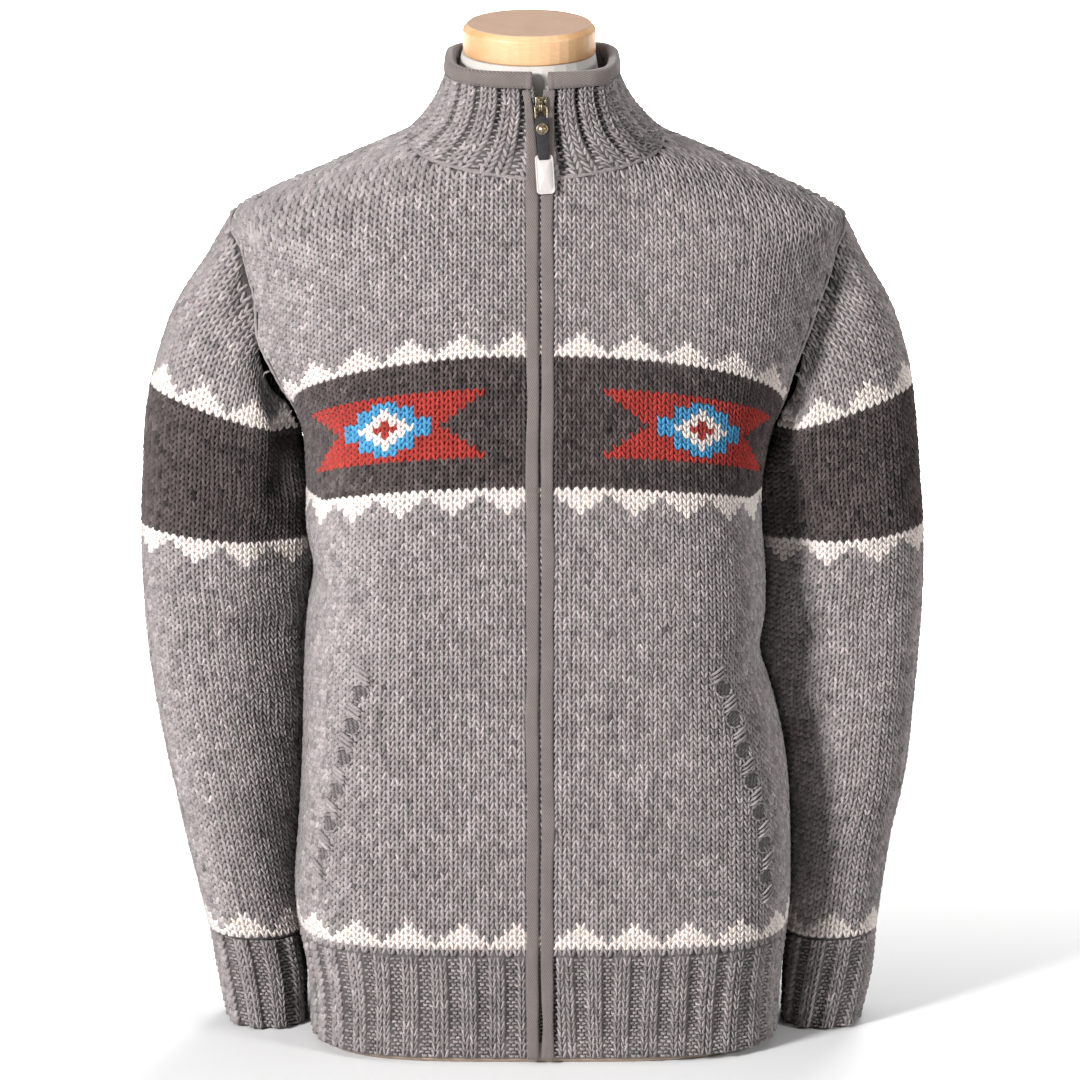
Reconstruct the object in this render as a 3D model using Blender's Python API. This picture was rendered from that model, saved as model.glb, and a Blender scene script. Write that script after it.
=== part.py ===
import math

import bpy
import numpy as np

# Metres, +Z up. The front faces -Y, X = 0 is the closed zip, Z = 0 the surface the form stands on.

WALL = 0.004
SEAM = 0.0003
EDGE = 0.003
HEM_LOW = 0.0045
HEM_SEAM = 0.0905
ARMPIT = 0.475
TIP = 0.6475
NECK_FRONT = 0.6925
NECK_SIDE = 0.7076
NECK_BACK = 0.6975
RIM = 0.7708
NECK_X = -0.0060
NECK_Y = -0.004

# Garment outline: height, left half-width, right half-width, front depth, back depth,
# squareness of the section, depth of the side line.
BODY = np.array([
    [0.0040, 0.1785, 0.1850, 0.1250, 0.1150, 4.0, 0.000],
    [0.0450, 0.1798, 0.1872, 0.1250, 0.1180, 4.0, 0.000],
    [0.0900, 0.1875, 0.1921, 0.1250, 0.1200, 4.0, 0.000],
    [0.1150, 0.1896, 0.1935, 0.1250, 0.1215, 3.9, 0.000],
    [0.1450, 0.1878, 0.1933, 0.1250, 0.1220, 3.80, 0.000],
    [0.1850, 0.1850, 0.1923, 0.1250, 0.1210, 3.75, 0.000],
    [0.2300, 0.1828, 0.1874, 0.1250, 0.1180, 3.65, 0.000],
    [0.2730, 0.1820, 0.1775, 0.1250, 0.1150, 3.55, 0.000],
    [0.3010, 0.1810, 0.1690, 0.1250, 0.1140, 3.45, 0.000],
    [0.3380, 0.1783, 0.1729, 0.1250, 0.1140, 3.35, 0.000],
    [0.3680, 0.1737, 0.1727, 0.1250, 0.1150, 3.25, 0.000],
    [0.4030, 0.1793, 0.1700, 0.1250, 0.1170, 3.00, 0.000],
    [0.4380, 0.1795, 0.1705, 0.1250, 0.1190, 2.65, 0.000],
    [0.4750, 0.1830, 0.1785, 0.1248, 0.1210, 2.30, 0.000],
    [0.5000, 0.1925, 0.1890, 0.1240, 0.1220, 2.18, 0.001],
    [0.5200, 0.2090, 0.2000, 0.1230, 0.1220, 2.12, 0.003],
    [0.5550, 0.2314, 0.2180, 0.1200, 0.1215, 2.10, 0.006],
    [0.5900, 0.2300, 0.2265, 0.1155, 0.1200, 2.10, 0.009],
    [0.6200, 0.2350, 0.2330, 0.1095, 0.1160, 2.10, 0.011],
    [0.6475, 0.2348, 0.2310, 0.1018, 0.1080, 2.10, 0.012],
    [0.6625, 0.2060, 0.2020, 0.0968, 0.1030, 2.05, 0.013],
    [0.6755, 0.1765, 0.1735, 0.0918, 0.0970, 2.0, 0.015],
    [0.6917, 0.1390, 0.1340, 0.0853, 0.0885, 2.0, 0.018],
    [0.7076, 0.1010, 0.0940, 0.0760, 0.0790, 2.0, 0.020],
])

# Armhole seam: height, depth of its front edge, depth of its back edge.
ARMHOLE = np.array([
    [0.4750, 0.000, 0.000],
    [0.4850, -0.012, 0.024],
    [0.5000, -0.022, 0.040],
    [0.5200, -0.036, 0.052],
    [0.5450, -0.043, 0.060],
    [0.5750, -0.036, 0.060],
    [0.6000, -0.025, 0.052],
    [0.6200, -0.019, 0.042],
    [0.6350, -0.008, 0.030],
    [0.6475, 0.012, 0.012],
])

# Sleeve: share of the way down, outer height, left outer, right outer, inner height,
# clearance beside the body, front depth, back depth, squareness.
SLEEVE = np.array([
    [0.00, 0.6475, 0.2348, 0.2310, 0.4750, 0.0005, 0.046, 0.062, 2.2],
    [0.06, 0.6140, 0.2550, 0.2480, 0.4640, 0.0045, 0.050, 0.064, 2.1],
    [0.12, 0.5760, 0.2798, 0.2700, 0.4480, 0.0030, 0.053, 0.065, 2.1],
    [0.19, 0.5310, 0.2962, 0.2842, 0.4230, 0.0022, 0.050, 0.070, 2.1],
    [0.26, 0.4900, 0.3045, 0.2902, 0.3940, 0.0022, 0.048, 0.072, 2.05],
    [0.34, 0.4400, 0.3075, 0.2940, 0.3580, 0.0022, 0.047, 0.072, 2.05],
    [0.42, 0.3930, 0.3090, 0.2972, 0.3230, 0.0022, 0.047, 0.070, 2.05],
    [0.50, 0.3430, 0.3075, 0.2968, 0.2870, 0.0022, 0.046, 0.068, 2.05],
    [0.58, 0.2950, 0.3035, 0.2938, 0.2510, 0.0022, 0.046, 0.065, 2.1],
    [0.66, 0.2450, 0.2960, 0.2895, 0.2130, 0.0022, 0.045, 0.061, 2.1],
    [0.74, 0.1950, 0.2862, 0.2840, 0.1730, 0.0022, 0.045, 0.057, 2.15],
    [0.82, 0.1450, 0.2752, 0.2728, 0.1320, 0.0022, 0.044, 0.051, 2.2],
    [0.90, 0.0740, 0.2585, 0.2628, 0.0720, 0.0028, 0.043, 0.046, 2.4],
    [0.95, 0.0380, 0.2520, 0.2592, 0.0380, 0.0035, 0.043, 0.044, 2.5],
    [1.00, 0.0010, 0.2450, 0.2510, 0.0010, 0.0045, 0.043, 0.041, 2.6],
])

# Sleeve folds pushed in: share down, angle from the outer line (degrees, front negative),
# depth, half-length along the sleeve, half-width round it, tilt.
FOLDS = [
    (0.30, -115, 0.0060, 0.035, 45, 0.10),
    (0.46, -125, 0.0085, 0.030, 50, -0.08),
    (0.60, -120, 0.0060, 0.030, 45, 0.08),
    (0.50, 110, 0.0060, 0.035, 45, 0.10),
    (0.72, 60, 0.0030, 0.030, 50, 0.10),
]

HEM_RIBS_FRONT = 12
HEM_RIBS_BACK = 24
CUFF_RIBS = 10
COLLAR_RIBS = 26


def clear_scene():
    for obj in list(bpy.data.objects):
        bpy.data.objects.remove(obj, do_unlink=True)


def curve(table, column, at):
    """Smooth value of one table column, read along the first column."""
    x = table[:, 0]
    y = table[:, column]
    slope = np.gradient(y, x)
    at = np.clip(at, x[0], x[-1])
    k = np.clip(np.searchsorted(x, at) - 1, 0, len(x) - 2)
    step = x[k + 1] - x[k]
    t = (at - x[k]) / step
    ends = (1 + 2 * t) * (1 - t) ** 2 * y[k] + t * t * (3 - 2 * t) * y[k + 1]
    return ends + t * (1 - t) * step * ((1 - t) * slope[k] - t * slope[k + 1])


def material(name, colour, roughness, metallic=0.0):
    made = bpy.data.materials.new(name)
    made.use_nodes = True
    surface = made.node_tree.nodes["Principled BSDF"]
    surface.inputs["Base Color"].default_value = (*colour, 1.0)
    surface.inputs["Roughness"].default_value = roughness
    surface.inputs["Metallic"].default_value = metallic
    return made


def solid(name, points, faces, look, smooth=True):
    mesh = bpy.data.meshes.new(name)
    mesh.from_pydata([tuple(p) for p in points], [], faces)
    mesh.polygons.foreach_set("use_smooth", [smooth] * len(mesh.polygons))
    mesh.materials.append(look)
    mesh.update()
    obj = bpy.data.objects.new(name, mesh)
    bpy.context.scene.collection.objects.link(obj)
    return obj


def wall(name, outer, inner, look, round_rows=False, round_columns=False, keep=None, smooth=True):
    """Closed plate between two grids of points [row, column]; cells not kept are cut through."""
    rows, columns = outer.shape[:2]
    cell_rows = rows if round_rows else rows - 1
    cell_columns = columns if round_columns else columns - 1
    if keep is None:
        keep = np.ones((cell_rows, cell_columns), bool)
    count = rows * columns
    points = np.concatenate([outer.reshape(-1, 3), inner.reshape(-1, 3)])
    faces = []

    def kept(i, j):
        if round_rows:
            i %= cell_rows
        if round_columns:
            j %= cell_columns
        return 0 <= i < cell_rows and 0 <= j < cell_columns and keep[i, j]

    for i in range(cell_rows):
        for j in range(cell_columns):
            if not kept(i, j):
                continue
            low, high = i * columns, (i + 1) % rows * columns
            right = (j + 1) % columns
            corner = [low + j, low + right, high + right, high + j]
            faces.append(corner)
            faces.append([count + k for k in reversed(corner)])
            beside = [(i - 1, j), (i, j + 1), (i + 1, j), (i, j - 1)]
            for side, (near_row, near_column) in enumerate(beside):
                if not kept(near_row, near_column):
                    a, b = corner[side], corner[(side + 1) % 4]
                    faces.append([b, a, count + a, count + b])
    used = np.unique([k for face in faces for k in face])
    order = {k: n for n, k in enumerate(used.tolist())}
    faces = [[order[k] for k in face] for face in faces]
    return solid(name, points[used], outward(points[used], faces), look, smooth)


def outward(points, faces):
    """The faces, turned so that they enclose a positive volume."""
    total = 0.0
    for face in faces:
        a = points[face[0]]
        for k in range(1, len(face) - 1):
            total += float(np.dot(a, np.cross(points[face[k]], points[face[k + 1]])))
    return faces if total > 0 else [face[::-1] for face in faces]


def tube(name, rings, look, around=False, smooth=True):
    """Solid through rings of points, its ends closed by flat faces unless it runs around."""
    count, size = len(rings), len(rings[0])
    points = np.concatenate(rings)
    faces = []
    for i in range(count if around else count - 1):
        for j in range(size):
            k = (j + 1) % size
            low, high = i * size, (i + 1) % count * size
            faces.append([low + j, low + k, high + k, high + j])
    if not around:
        faces.append(list(range(size))[::-1])
        faces.append([(count - 1) * size + j for j in range(size)])
    return solid(name, points, outward(points, faces), look, smooth)


def normals(grid, round_rows=False, round_columns=False):
    """Unit normals of a grid of points from its neighbours."""
    def along(axis, rounded):
        if rounded:
            return np.roll(grid, -1, axis) - np.roll(grid, 1, axis)
        return np.gradient(grid, axis=axis)

    made = np.cross(along(1, round_columns), along(0, round_rows))
    return made / np.linalg.norm(made, axis=2, keepdims=True)


def section(width, depth, power, samples=64):
    """Quarter of a rounded section from its front middle to its side, with its running length."""
    angle = np.linspace(0, math.pi / 2, samples)
    across, ahead = np.sin(angle), np.cos(angle)
    reach = (across ** power + ahead ** power) ** (-1 / power)
    x, y = width * reach * across, depth * reach * ahead
    length = np.concatenate([[0], np.cumsum(np.hypot(np.diff(x), np.diff(y)))])
    return x, y, length


def body_point(turn, height):
    """Outer surface of the garment. Turn 0 is the front middle, 1 the right side line, 2 the back
    middle; negative turns lie on the left."""
    hand = -1 if turn < 0 else 1
    turn = abs(turn)
    if turn > 2:
        turn, hand = 4 - turn, -hand
    left, right, front, back, power, side = [curve(BODY, k, height) for k in range(1, 7)]
    ahead = turn <= 1
    part = turn if ahead else 2 - turn
    depth = front + side if ahead else back - side
    x, y, length = section(left if hand < 0 else right, depth, power)
    at = part * length[-1]
    y_at = np.interp(at, length, y)
    return np.array([hand * np.interp(at, length, x), side - y_at if ahead else side + y_at, height])


def part_at_gap(hand, height, gap, back=False):
    """Share of the quarter section taken by a distance from the middle line."""
    left, right, front, rear, power, side = [curve(BODY, k, height) for k in range(1, 7)]
    depth = rear - side if back else front + side
    return gap / section(left if hand < 0 else right, depth, power)[2][-1]


def part_at_depth(hand, height, y_at, back=False):
    """Share of the quarter section where it reaches a given depth."""
    left, right, front, rear, power, side = [curve(BODY, k, height) for k in range(1, 7)]
    depth = rear - side if back else front + side
    _, y, length = section(left if hand < 0 else right, depth, power)
    away = y_at - side if back else side - y_at
    return float(np.interp(away, y[::-1], length[::-1])) / length[-1]


def body_normal(turn, height):
    across = body_point(turn + 0.01, height) - body_point(turn - 0.01, height)
    up = body_point(turn, height + 0.002) - body_point(turn, height - 0.002)
    made = np.cross(across, up)
    return made / np.linalg.norm(made)


def neck_height(turn):
    part = abs(turn)
    part = min(part, 4 - part)
    if part <= 1:
        return NECK_FRONT + (NECK_SIDE - NECK_FRONT) * part
    return NECK_SIDE + (NECK_BACK - NECK_SIDE) * (part - 1)


def panel_heights():
    """Rows of every body panel: below the armpit, beside the armhole, along the shoulder."""
    low = np.linspace(HEM_SEAM + SEAM / 2, ARMPIT, 12)[:-1]
    turn = np.linspace(0, math.pi, 11)
    middle = (ARMPIT + TIP) / 2 - (TIP - ARMPIT) / 2 * np.cos(turn)
    return list(low), list(middle), [0.25, 0.5, 0.75, 1.0]


def panel(hand, back, columns):
    """Half of the body between the middle line and the side line; returns its two grids."""
    low, middle, shoulder = panel_heights()
    outer = []
    inner = []
    for number, step in enumerate(low + middle + shoulder):
        beside = len(low) <= number < len(low) + len(middle)
        above = number >= len(low) + len(middle)
        level = TIP if above else step
        start = 0.0 if back else part_at_gap(hand, min(level, TIP), EDGE, back)
        cut = part_at_gap(hand, min(level, TIP), SEAM / 2, back)
        end = 1 - cut
        if beside:
            edge = curve(ARMHOLE, 2 if back else 1, level)
            end = min(end, part_at_depth(hand, level, edge, back))
        row = []
        for part in np.linspace(start, end, columns + 1):
            turn = 2 - part if back else part
            height = level
            if above:
                height = TIP + step * (neck_height(turn) - SEAM / 2 - TIP)
            if part == start and above and not back:
                part = part_at_gap(hand, height, EDGE)
                turn = part
            turn = hand * turn
            point = body_point(turn, height)
            row.append((point, point - WALL * body_normal(turn, height)))
        outer.append([p for p, _ in row])
        inner.append([q for _, q in row])
    return np.array(outer), np.array(inner)


def build_body(knit):
    low, middle, _ = panel_heights()
    sides = {}
    for hand, side in ((-1, "left"), (1, "right")):
        outer, inner = panel(hand, False, 10)
        wall("front_" + side, outer, inner, knit)
        back_outer, back_inner = panel(hand, True, 9)
        sides[hand] = (outer, inner, back_outer, back_inner)
    outer = np.concatenate([sides[1][2][:, ::-1], sides[-1][2][:, 1:]], axis=1)
    inner = np.concatenate([sides[1][3][:, ::-1], sides[-1][3][:, 1:]], axis=1)
    wall("back_panel", outer, inner, knit)
    return sides, slice(len(low), len(low) + len(middle))


def sleeve_ring(hand, share, angles):
    """Points round the sleeve; angle 0 is its outer line and rises towards the front."""
    values = [curve(SLEEVE, k, share) for k in range(1, 9)]
    high, left_out, right_out, low, clear, front, back, power = values
    out = left_out if hand < 0 else right_out
    inside = curve(BODY, 1 if hand < 0 else 2, low) + clear
    middle = np.array([hand * (out + inside) / 2, 0.004, (high + low) / 2])
    reach = np.array([hand * (out - inside) / 2, 0.0, (high - low) / 2])
    c, s = np.cos(angles), np.sin(angles)
    size = (np.abs(c) ** power + np.abs(s) ** power) ** (-1 / power)
    depth = np.where(s > 0, front, back)
    ring = middle + np.outer(size * c, reach)
    ring[:, 1] -= size * s * depth
    turned = np.degrees((angles + math.pi) % (2 * math.pi) - math.pi)
    for at, around, amount, length, width, tilt in FOLDS:
        away = (turned + around + 180) % 360 - 180
        along = share - at - tilt * away / 180
        press = amount * np.exp(-(along / length) ** 2 - (away / width) ** 2)
        inward = middle - ring
        inward /= np.linalg.norm(inward, axis=1, keepdims=True)
        ring += inward * press[:, None]
    return ring


def build_sleeve(hand, side, panels, rows, knit):
    outer, inner, back_outer, back_inner = panels
    loops = []
    for front_grid, back_grid in ((outer, back_outer), (inner, back_inner)):
        front = front_grid[rows, -1][::-1]
        back = back_grid[rows, -1]
        loops.append(np.concatenate([front, back[1:-1]]))
    count = len(loops[0])
    half = count // 2
    angles = np.arange(count) * math.pi / half
    edge = loops[0]
    tangent = np.roll(edge, -1, 0) - np.roll(edge, 1, 0)
    thick = loops[0] - loops[1]
    away = np.cross(tangent, thick)
    away /= np.linalg.norm(away, axis=1, keepdims=True)
    if away[0, 0] * hand < 0:
        away = -away
    first = edge + away * 0.0006
    plain = sleeve_ring(hand, 0.0, angles)
    shares = [0.05, 0.10, 0.16, 0.22, 0.28, 0.34, 0.40, 0.46, 0.52, 0.58, 0.65, 0.73, 0.81, 0.8996]
    hold = {0.05: 0.62, 0.10: 0.3, 0.16: 0.1, 0.22: 0.02}
    rings = []
    for share in shares:
        ring = sleeve_ring(hand, share, angles)
        ring += hold.get(share, 0.0) * (edge - plain)
        rings.append(ring)
    grid = np.array([first] + rings)
    out = normals(grid, round_columns=True)
    if out[5, 0, 0] * hand < 0:
        out = -out
    beyond = np.minimum(0, (-out[0] * away).sum(axis=1, keepdims=True) - 0.05)
    out[0] += away * beyond
    out[0] /= np.linalg.norm(out[0], axis=1, keepdims=True)
    back = grid - out * WALL
    wall("sleeve_" + side, grid, back, knit, round_columns=True)


def build_cuff(hand, side, knit):
    count = CUFF_RIBS * 4
    angles = np.arange(count) * 2 * math.pi / count
    raised = np.tile([0.0, 0.0, 1.0, 1.0], CUFF_RIBS)
    grid = np.array([sleeve_ring(hand, share, angles) for share in (0.9004, 0.93, 0.965, 1.0)])
    out = normals(grid, round_columns=True)
    if out[1, 0, 0] * hand < 0:
        out = -out
    inner = grid - out * 0.0055
    outer = grid - out * 0.0022 * (1 - raised)[None, :, None]
    wall("cuff_" + side, outer, inner, knit, round_columns=True)


def build_hem(name, turns, relief, knit):
    heights = (HEM_LOW, 0.048, HEM_SEAM - SEAM / 2)
    outer, inner = [], []
    for height in heights:
        depth = 0.0018 if height < 0.08 else 0.0010
        row = [(body_point(turn, height), body_normal(turn, height)) for turn in turns]
        outer.append([p - n * depth * (1 - up) for (p, n), up in zip(row, relief)])
        inner.append([p - n * WALL for p, n in row])
    wall(name, np.array(outer), np.array(inner), knit)


def build_hems(knit):
    for hand, side in ((-1, "left"), (1, "right")):
        start = part_at_gap(hand, 0.05, EDGE)
        end = 1 - part_at_gap(hand, 0.05, SEAM / 2)
        turns = [start + 0.010]
        relief = [1.0]
        for rib in range(HEM_RIBS_FRONT):
            for place, up in ((0.30, 0.0), (0.60, 1.0), (1.0, 1.0)):
                turns.append(start + 0.010 + (end - start - 0.010) * (rib + place) / HEM_RIBS_FRONT)
                relief.append(up)
        turns[0] = start
        build_hem("hem_" + side, [hand * t for t in turns], relief, knit)
    cut = part_at_gap(1, 0.05, SEAM / 2, True)
    turns, relief = [1 + cut], [1.0]
    for rib in range(HEM_RIBS_BACK):
        for place, up in ((0.30, 0.0), (0.60, 1.0), (1.0, 1.0)):
            turns.append(1 + cut + (2 - 2 * cut) * (rib + place) / HEM_RIBS_BACK)
            relief.append(up)
    build_hem("hem_back", turns, relief, knit)


def collar_point(turn, share):
    """Outer surface of the collar from its seam (share 0) to its rim (share 1)."""
    hand = -1 if turn < 0 else 1
    turn = abs(turn)
    if turn > 2:
        turn, hand = 4 - turn, -hand
    base = body_point(hand * turn, neck_height(turn) + 2 * SEAM)
    ahead = turn <= 1
    part = turn if ahead else 2 - turn
    x, y, length = section(0.0645 + hand * NECK_X, 0.062, 3.6)
    x_at = np.interp(part * length[-1], length, x)
    y_at = np.interp(part * length[-1], length, y)
    rim = np.array([hand * x_at, NECK_Y - y_at if ahead else NECK_Y + y_at, 0.0])
    rim[2] = RIM + 0.001 * math.sin(math.pi / 2 * part) - (0 if ahead else 0.005 * (1 - part))
    spread = (1 - share) ** (1.6 + 0.25 * (min(1, 2 * part) if ahead else 1))
    point = rim + (base - rim) * spread
    point[2] = base[2] + (rim[2] - base[2]) * share
    return point


def collar_normal(turn, share):
    across = collar_point(turn + 0.01, share) - collar_point(turn - 0.01, share)
    up = collar_point(turn, min(share + 0.02, 1)) - collar_point(turn, share - 0.02)
    made = np.cross(across, up)
    return made / np.linalg.norm(made)


def collar_turn(hand, share):
    """Turn at which the knitted edge lies beside the zip; it opens towards the rim."""
    opening = EDGE + 0.0030 * max(0.0, (share - 0.70) / 0.30)
    x = 0.0
    turn = 0.0
    while x < opening:
        turn += 0.0005
        x = abs(collar_point(hand * turn, share)[0])
    return turn


COLLAR_SHARES = (0.0, 0.25, 0.55, 0.86, 1.0)


def build_collar(knit):
    outer, inner = [], []
    for share in COLLAR_SHARES:
        first, last = collar_turn(1, share), 4 - collar_turn(-1, share)
        row_outer, row_inner = [], []
        fade = (0.5, 1.0, 1.0, 1.0, 0.3)[COLLAR_SHARES.index(share)]
        places = [(0.0, 1.0)]
        for rib in range(COLLAR_RIBS):
            places += [((rib + 0.24) / COLLAR_RIBS, 1.0), ((rib + 0.5) / COLLAR_RIBS, 0.0)]
            places += [((rib + 0.76) / COLLAR_RIBS, 1.0)]
        places.append((1.0, 1.0))
        for place, up in places:
            turn = first + (last - first) * place
            turn = turn if turn <= 2 else turn - 4
            if turn == 0:
                turn = 1e-6
            point = collar_point(turn, share)
            out = collar_normal(turn, share)
            row_outer.append(point - out * 0.0024 * fade * (1 - up))
            row_inner.append(point - out * WALL)
        outer.append(row_outer)
        inner.append(row_inner)
    wall("collar", np.array(outer), np.array(inner), knit)


def build_collar_binding(twill):
    first, last = collar_turn(1, 1.0), 4 - collar_turn(-1, 1.0)
    rings = []
    low = 0.865
    gap, cloth = 0.0006, 0.0013
    for place in np.linspace(0.002, 0.998, 43):
        turn = first + (last - first) * place
        turn = turn if turn <= 2 else turn - 4
        rim, bottom = collar_point(turn, 1.0), collar_point(turn, low)
        out = collar_normal(turn, 1.0)
        out[2] = 0
        out /= np.linalg.norm(out)
        up = np.array([0, 0, 1.0])
        outside, inside = gap, -WALL - gap
        profile = [
            bottom + out * outside,
            bottom + out * (outside + cloth),
            rim + out * (outside + cloth) + up * (gap + 0.3 * cloth),
            rim + out * (outside + 0.3 * cloth) + up * (gap + cloth),
            rim + out * (inside - 0.3 * cloth) + up * (gap + cloth),
            rim + out * (inside - cloth) + up * (gap + 0.3 * cloth),
            bottom + out * (inside - cloth),
            bottom + out * inside,
            rim + out * inside + up * gap,
            rim + out * outside + up * gap,
        ]
        rings.append(np.array(profile))
    tube("collar_binding", rings, twill)


def front_line(height):
    """Depth of the front middle of body and collar."""
    if height <= NECK_FRONT:
        return -float(curve(BODY, 3, height))
    share = (height - NECK_FRONT) / (RIM - NECK_FRONT)
    return float(collar_point(0.0, share)[1])


def zip_levels(low, high):
    """Heights at which a strip along the zip follows the rows of panel and collar."""
    _, middle, shoulder = panel_heights()
    rows = [HEM_SEAM, 0.19, 0.30, 0.40] + middle
    rows += [TIP + step * (NECK_FRONT - TIP) for step in shoulder]
    rows += [NECK_FRONT + share * (RIM - NECK_FRONT) for share in COLLAR_SHARES[1:]]
    return [low] + [z for z in rows if low + 0.003 < z < high - 0.003] + [high]


def strip(name, low, high, span, near, far, look, waver=0.0):
    """Long narrow piece along the zip between two X values and two depths from the front line."""
    rings = []
    for height in zip_levels(low, high):
        opening = 0.0030 * max(0.0, (height - 0.7473) / 0.0235)
        shift = waver * math.sin(height * 52.0) + math.copysign(opening, span[0] + span[1])
        if span[0] + span[1] == 0:
            shift = 0.0
        y = front_line(height)
        slope = (front_line(height + 0.002) - front_line(height - 0.002)) / 0.004
        out = np.array([0, -1.0, slope])
        out /= np.linalg.norm(out)
        base = np.array([0, y, height])
        corners = []
        for x, away in ((span[0], near), (span[1], near), (span[1], far), (span[0], far)):
            corners.append(base + out * away + np.array([x + shift, 0, 0]))
        rings.append(np.array(corners))
    return tube(name, rings, look, smooth=False)


def build_zip(twill, tape, brass, leather, white):
    strip("binding_left", 0.0045, 0.7585, (-0.0104, -0.0008), 0.0003, 0.0018, twill)
    strip("binding_right", 0.0045, 0.7585, (0.0008, 0.0104), 0.0003, 0.0018, twill)
    strip("tape_left", 0.0195, 0.744, (-0.0135, -0.0002), -0.0052, -0.0058, tape)
    strip("tape_right", 0.0195, 0.744, (0.0002, 0.0135), -0.0052, -0.0058, tape)
    strip("zip_chain", 0.0195, 0.738, (-0.0026, 0.0026), -0.0015, -0.0044, brass)
    build_slider(brass)
    build_pull(brass, leather, white)


SLIDER_Z = 0.7470
HINGE_AWAY = 0.0063
LEAN = math.atan(0.28)
SLANT = math.radians(3.6)


def on_zip(x, up, away):
    """Point beside the slider's middle: across, up along the zip and out from its front line."""
    low = NECK_FRONT + COLLAR_SHARES[2] * (RIM - NECK_FRONT)
    high = NECK_FRONT + COLLAR_SHARES[3] * (RIM - NECK_FRONT)
    rise = np.array([0, front_line(high) - front_line(low), high - low])
    rise /= np.linalg.norm(rise)
    out = np.array([0, -rise[2], rise[1]])
    share = (SLIDER_Z - low) / (high - low)
    middle = np.array([0, front_line(low) + share * (front_line(high) - front_line(low)), SLIDER_Z])
    return middle + rise * up + out * away + np.array([x, 0, 0])


def build_slider(brass):
    """Flat body of the slider with the arch that holds the pull."""
    back, front, cut = 0.0021, 0.0041, 0.0018
    left, right, low, high = -0.0040, 0.0052, -0.0080, 0.0075
    outline = [(left + cut, low), (right - cut, low), (right, low + cut), (right, high - cut),
               (right - cut, high), (left + cut, high), (left, high - cut), (left, low + cut)]
    body = tube("zip_slider", [np.array([on_zip(x, up, away) for x, up in outline])
                               for away in (back, front)], brass, smooth=False)
    steps = [0.0] + list(np.linspace(0, math.pi, 9)) + [math.pi]
    rings = []
    for number, step in enumerate(steps):
        sunk = 0.0012 if number in (0, len(steps) - 1) else -0.0002
        ring = []
        for x, wide in ((-0.0011, 0.0039), (0.0011, 0.0039), (0.0011, 0.0053), (-0.0011, 0.0053)):
            tall = wide * 0.87
            ring.append(on_zip(0.0006 + x, wide * math.cos(step), front - sunk + tall * math.sin(step)))
        rings.append(np.array(ring))
    arch = tube("arch", rings, brass)
    join = body.modifiers.new("arch", "BOOLEAN")
    join.operation = "UNION"
    join.solver = "EXACT"
    join.object = arch
    arch.hide_render = True
    arch.display_type = "WIRE"


def placed(points):
    """Points of the hanging pull from its own frame: x across, y outwards, z down from the hinge."""
    points = np.asarray(points, float)
    down = np.array([math.sin(SLANT), -math.sin(LEAN), -math.cos(LEAN)])
    down /= np.linalg.norm(down)
    across = np.array([1.0, 0, 0]) - down * down[0]
    across /= np.linalg.norm(across)
    out = np.cross(down, across)
    if out[1] > 0:
        out = -out
    hinge = on_zip(0.0006, 0.0, HINGE_AWAY)
    return hinge + points[:, :1] * across + points[:, 1:2] * out + points[:, 2:3] * down


def build_pull(brass, leather, white):
    bar = 0.0008
    corner = 0.0012
    half, long = 0.0045, 0.0088
    path = []
    for cx, cz, start in ((half - corner, corner, -90), (half - corner, long - corner, 0),
                          (-half + corner, long - corner, 90), (-half + corner, corner, 180)):
        for degrees in (0, 45, 90):
            a = math.radians(start + degrees)
            path.append(((cx + corner * math.cos(a), cz + corner * math.sin(a)), (math.cos(a), math.sin(a))))
    rings = []
    for (x, z), (ox, oz) in path:
        ring = [(x + bar * math.cos(b) * ox, bar * math.sin(b), z + bar * math.cos(b) * oz)
                for b in np.arange(6) * math.pi / 3]
        rings.append(placed(ring))
    tube("pull_link", rings, brass, around=True)

    inside, thick, top, end = 0.0011, 0.0010, 0.0088, 0.0405
    stations = []
    for z in (end, 0.030, 0.0205, 0.0155, 0.0120):
        stations.append((1.0, z, 0.0))
    for a in np.linspace(0, math.pi, 7):
        stations.append((math.cos(a), top, math.sin(a)))
    for z in (0.0120, 0.0155, 0.0205, 0.030, end):
        stations.append((-1.0, z, 0.0))
    outer, inner = [], []
    for side, z, lift in stations:
        width = 0.0027 + 0.0033 * min(1.0, max(0.0, (z - 0.0105) / 0.0050))
        rows = []
        for radius in (inside + thick, inside):
            rows.append([(x, side * radius, z - lift * radius) for x in (-width, width)])
        outer.append(placed(rows[0]))
        inner.append(placed(rows[1]))
    wall("pull_strap", np.array(outer), np.array(inner), leather, smooth=False)

    rivet = []
    face = inside + thick + 0.0003
    for radius, y in ((0.0043, face), (0.0044, face + 0.0006), (0.0030, face + 0.0013)):
        ring = [(radius * math.cos(a), y, 0.0170 + radius * math.sin(a)) for a in np.arange(16) * math.pi / 8]
        rivet.append(placed(ring))
    tube("pull_rivet", rivet, brass)

    outline = []
    half, low, high, corner = 0.0070, 0.0365, 0.0665, 0.0030
    for cx, cz, start in ((half - corner, low + corner, -90), (half - corner, high - corner, 0),
                          (-half + corner, high - corner, 90), (-half + corner, low + corner, 180)):
        for degrees in (0, 30, 60, 90):
            a = math.radians(start + degrees)
            outline.append((cx + corner * math.cos(a), cz + corner * math.sin(a)))
    rings = [placed([(x, y, z) for x, z in outline]) for y in (-0.0008, 0.0008)]
    tube("pull_tag", rings, white, smooth=False)


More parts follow.
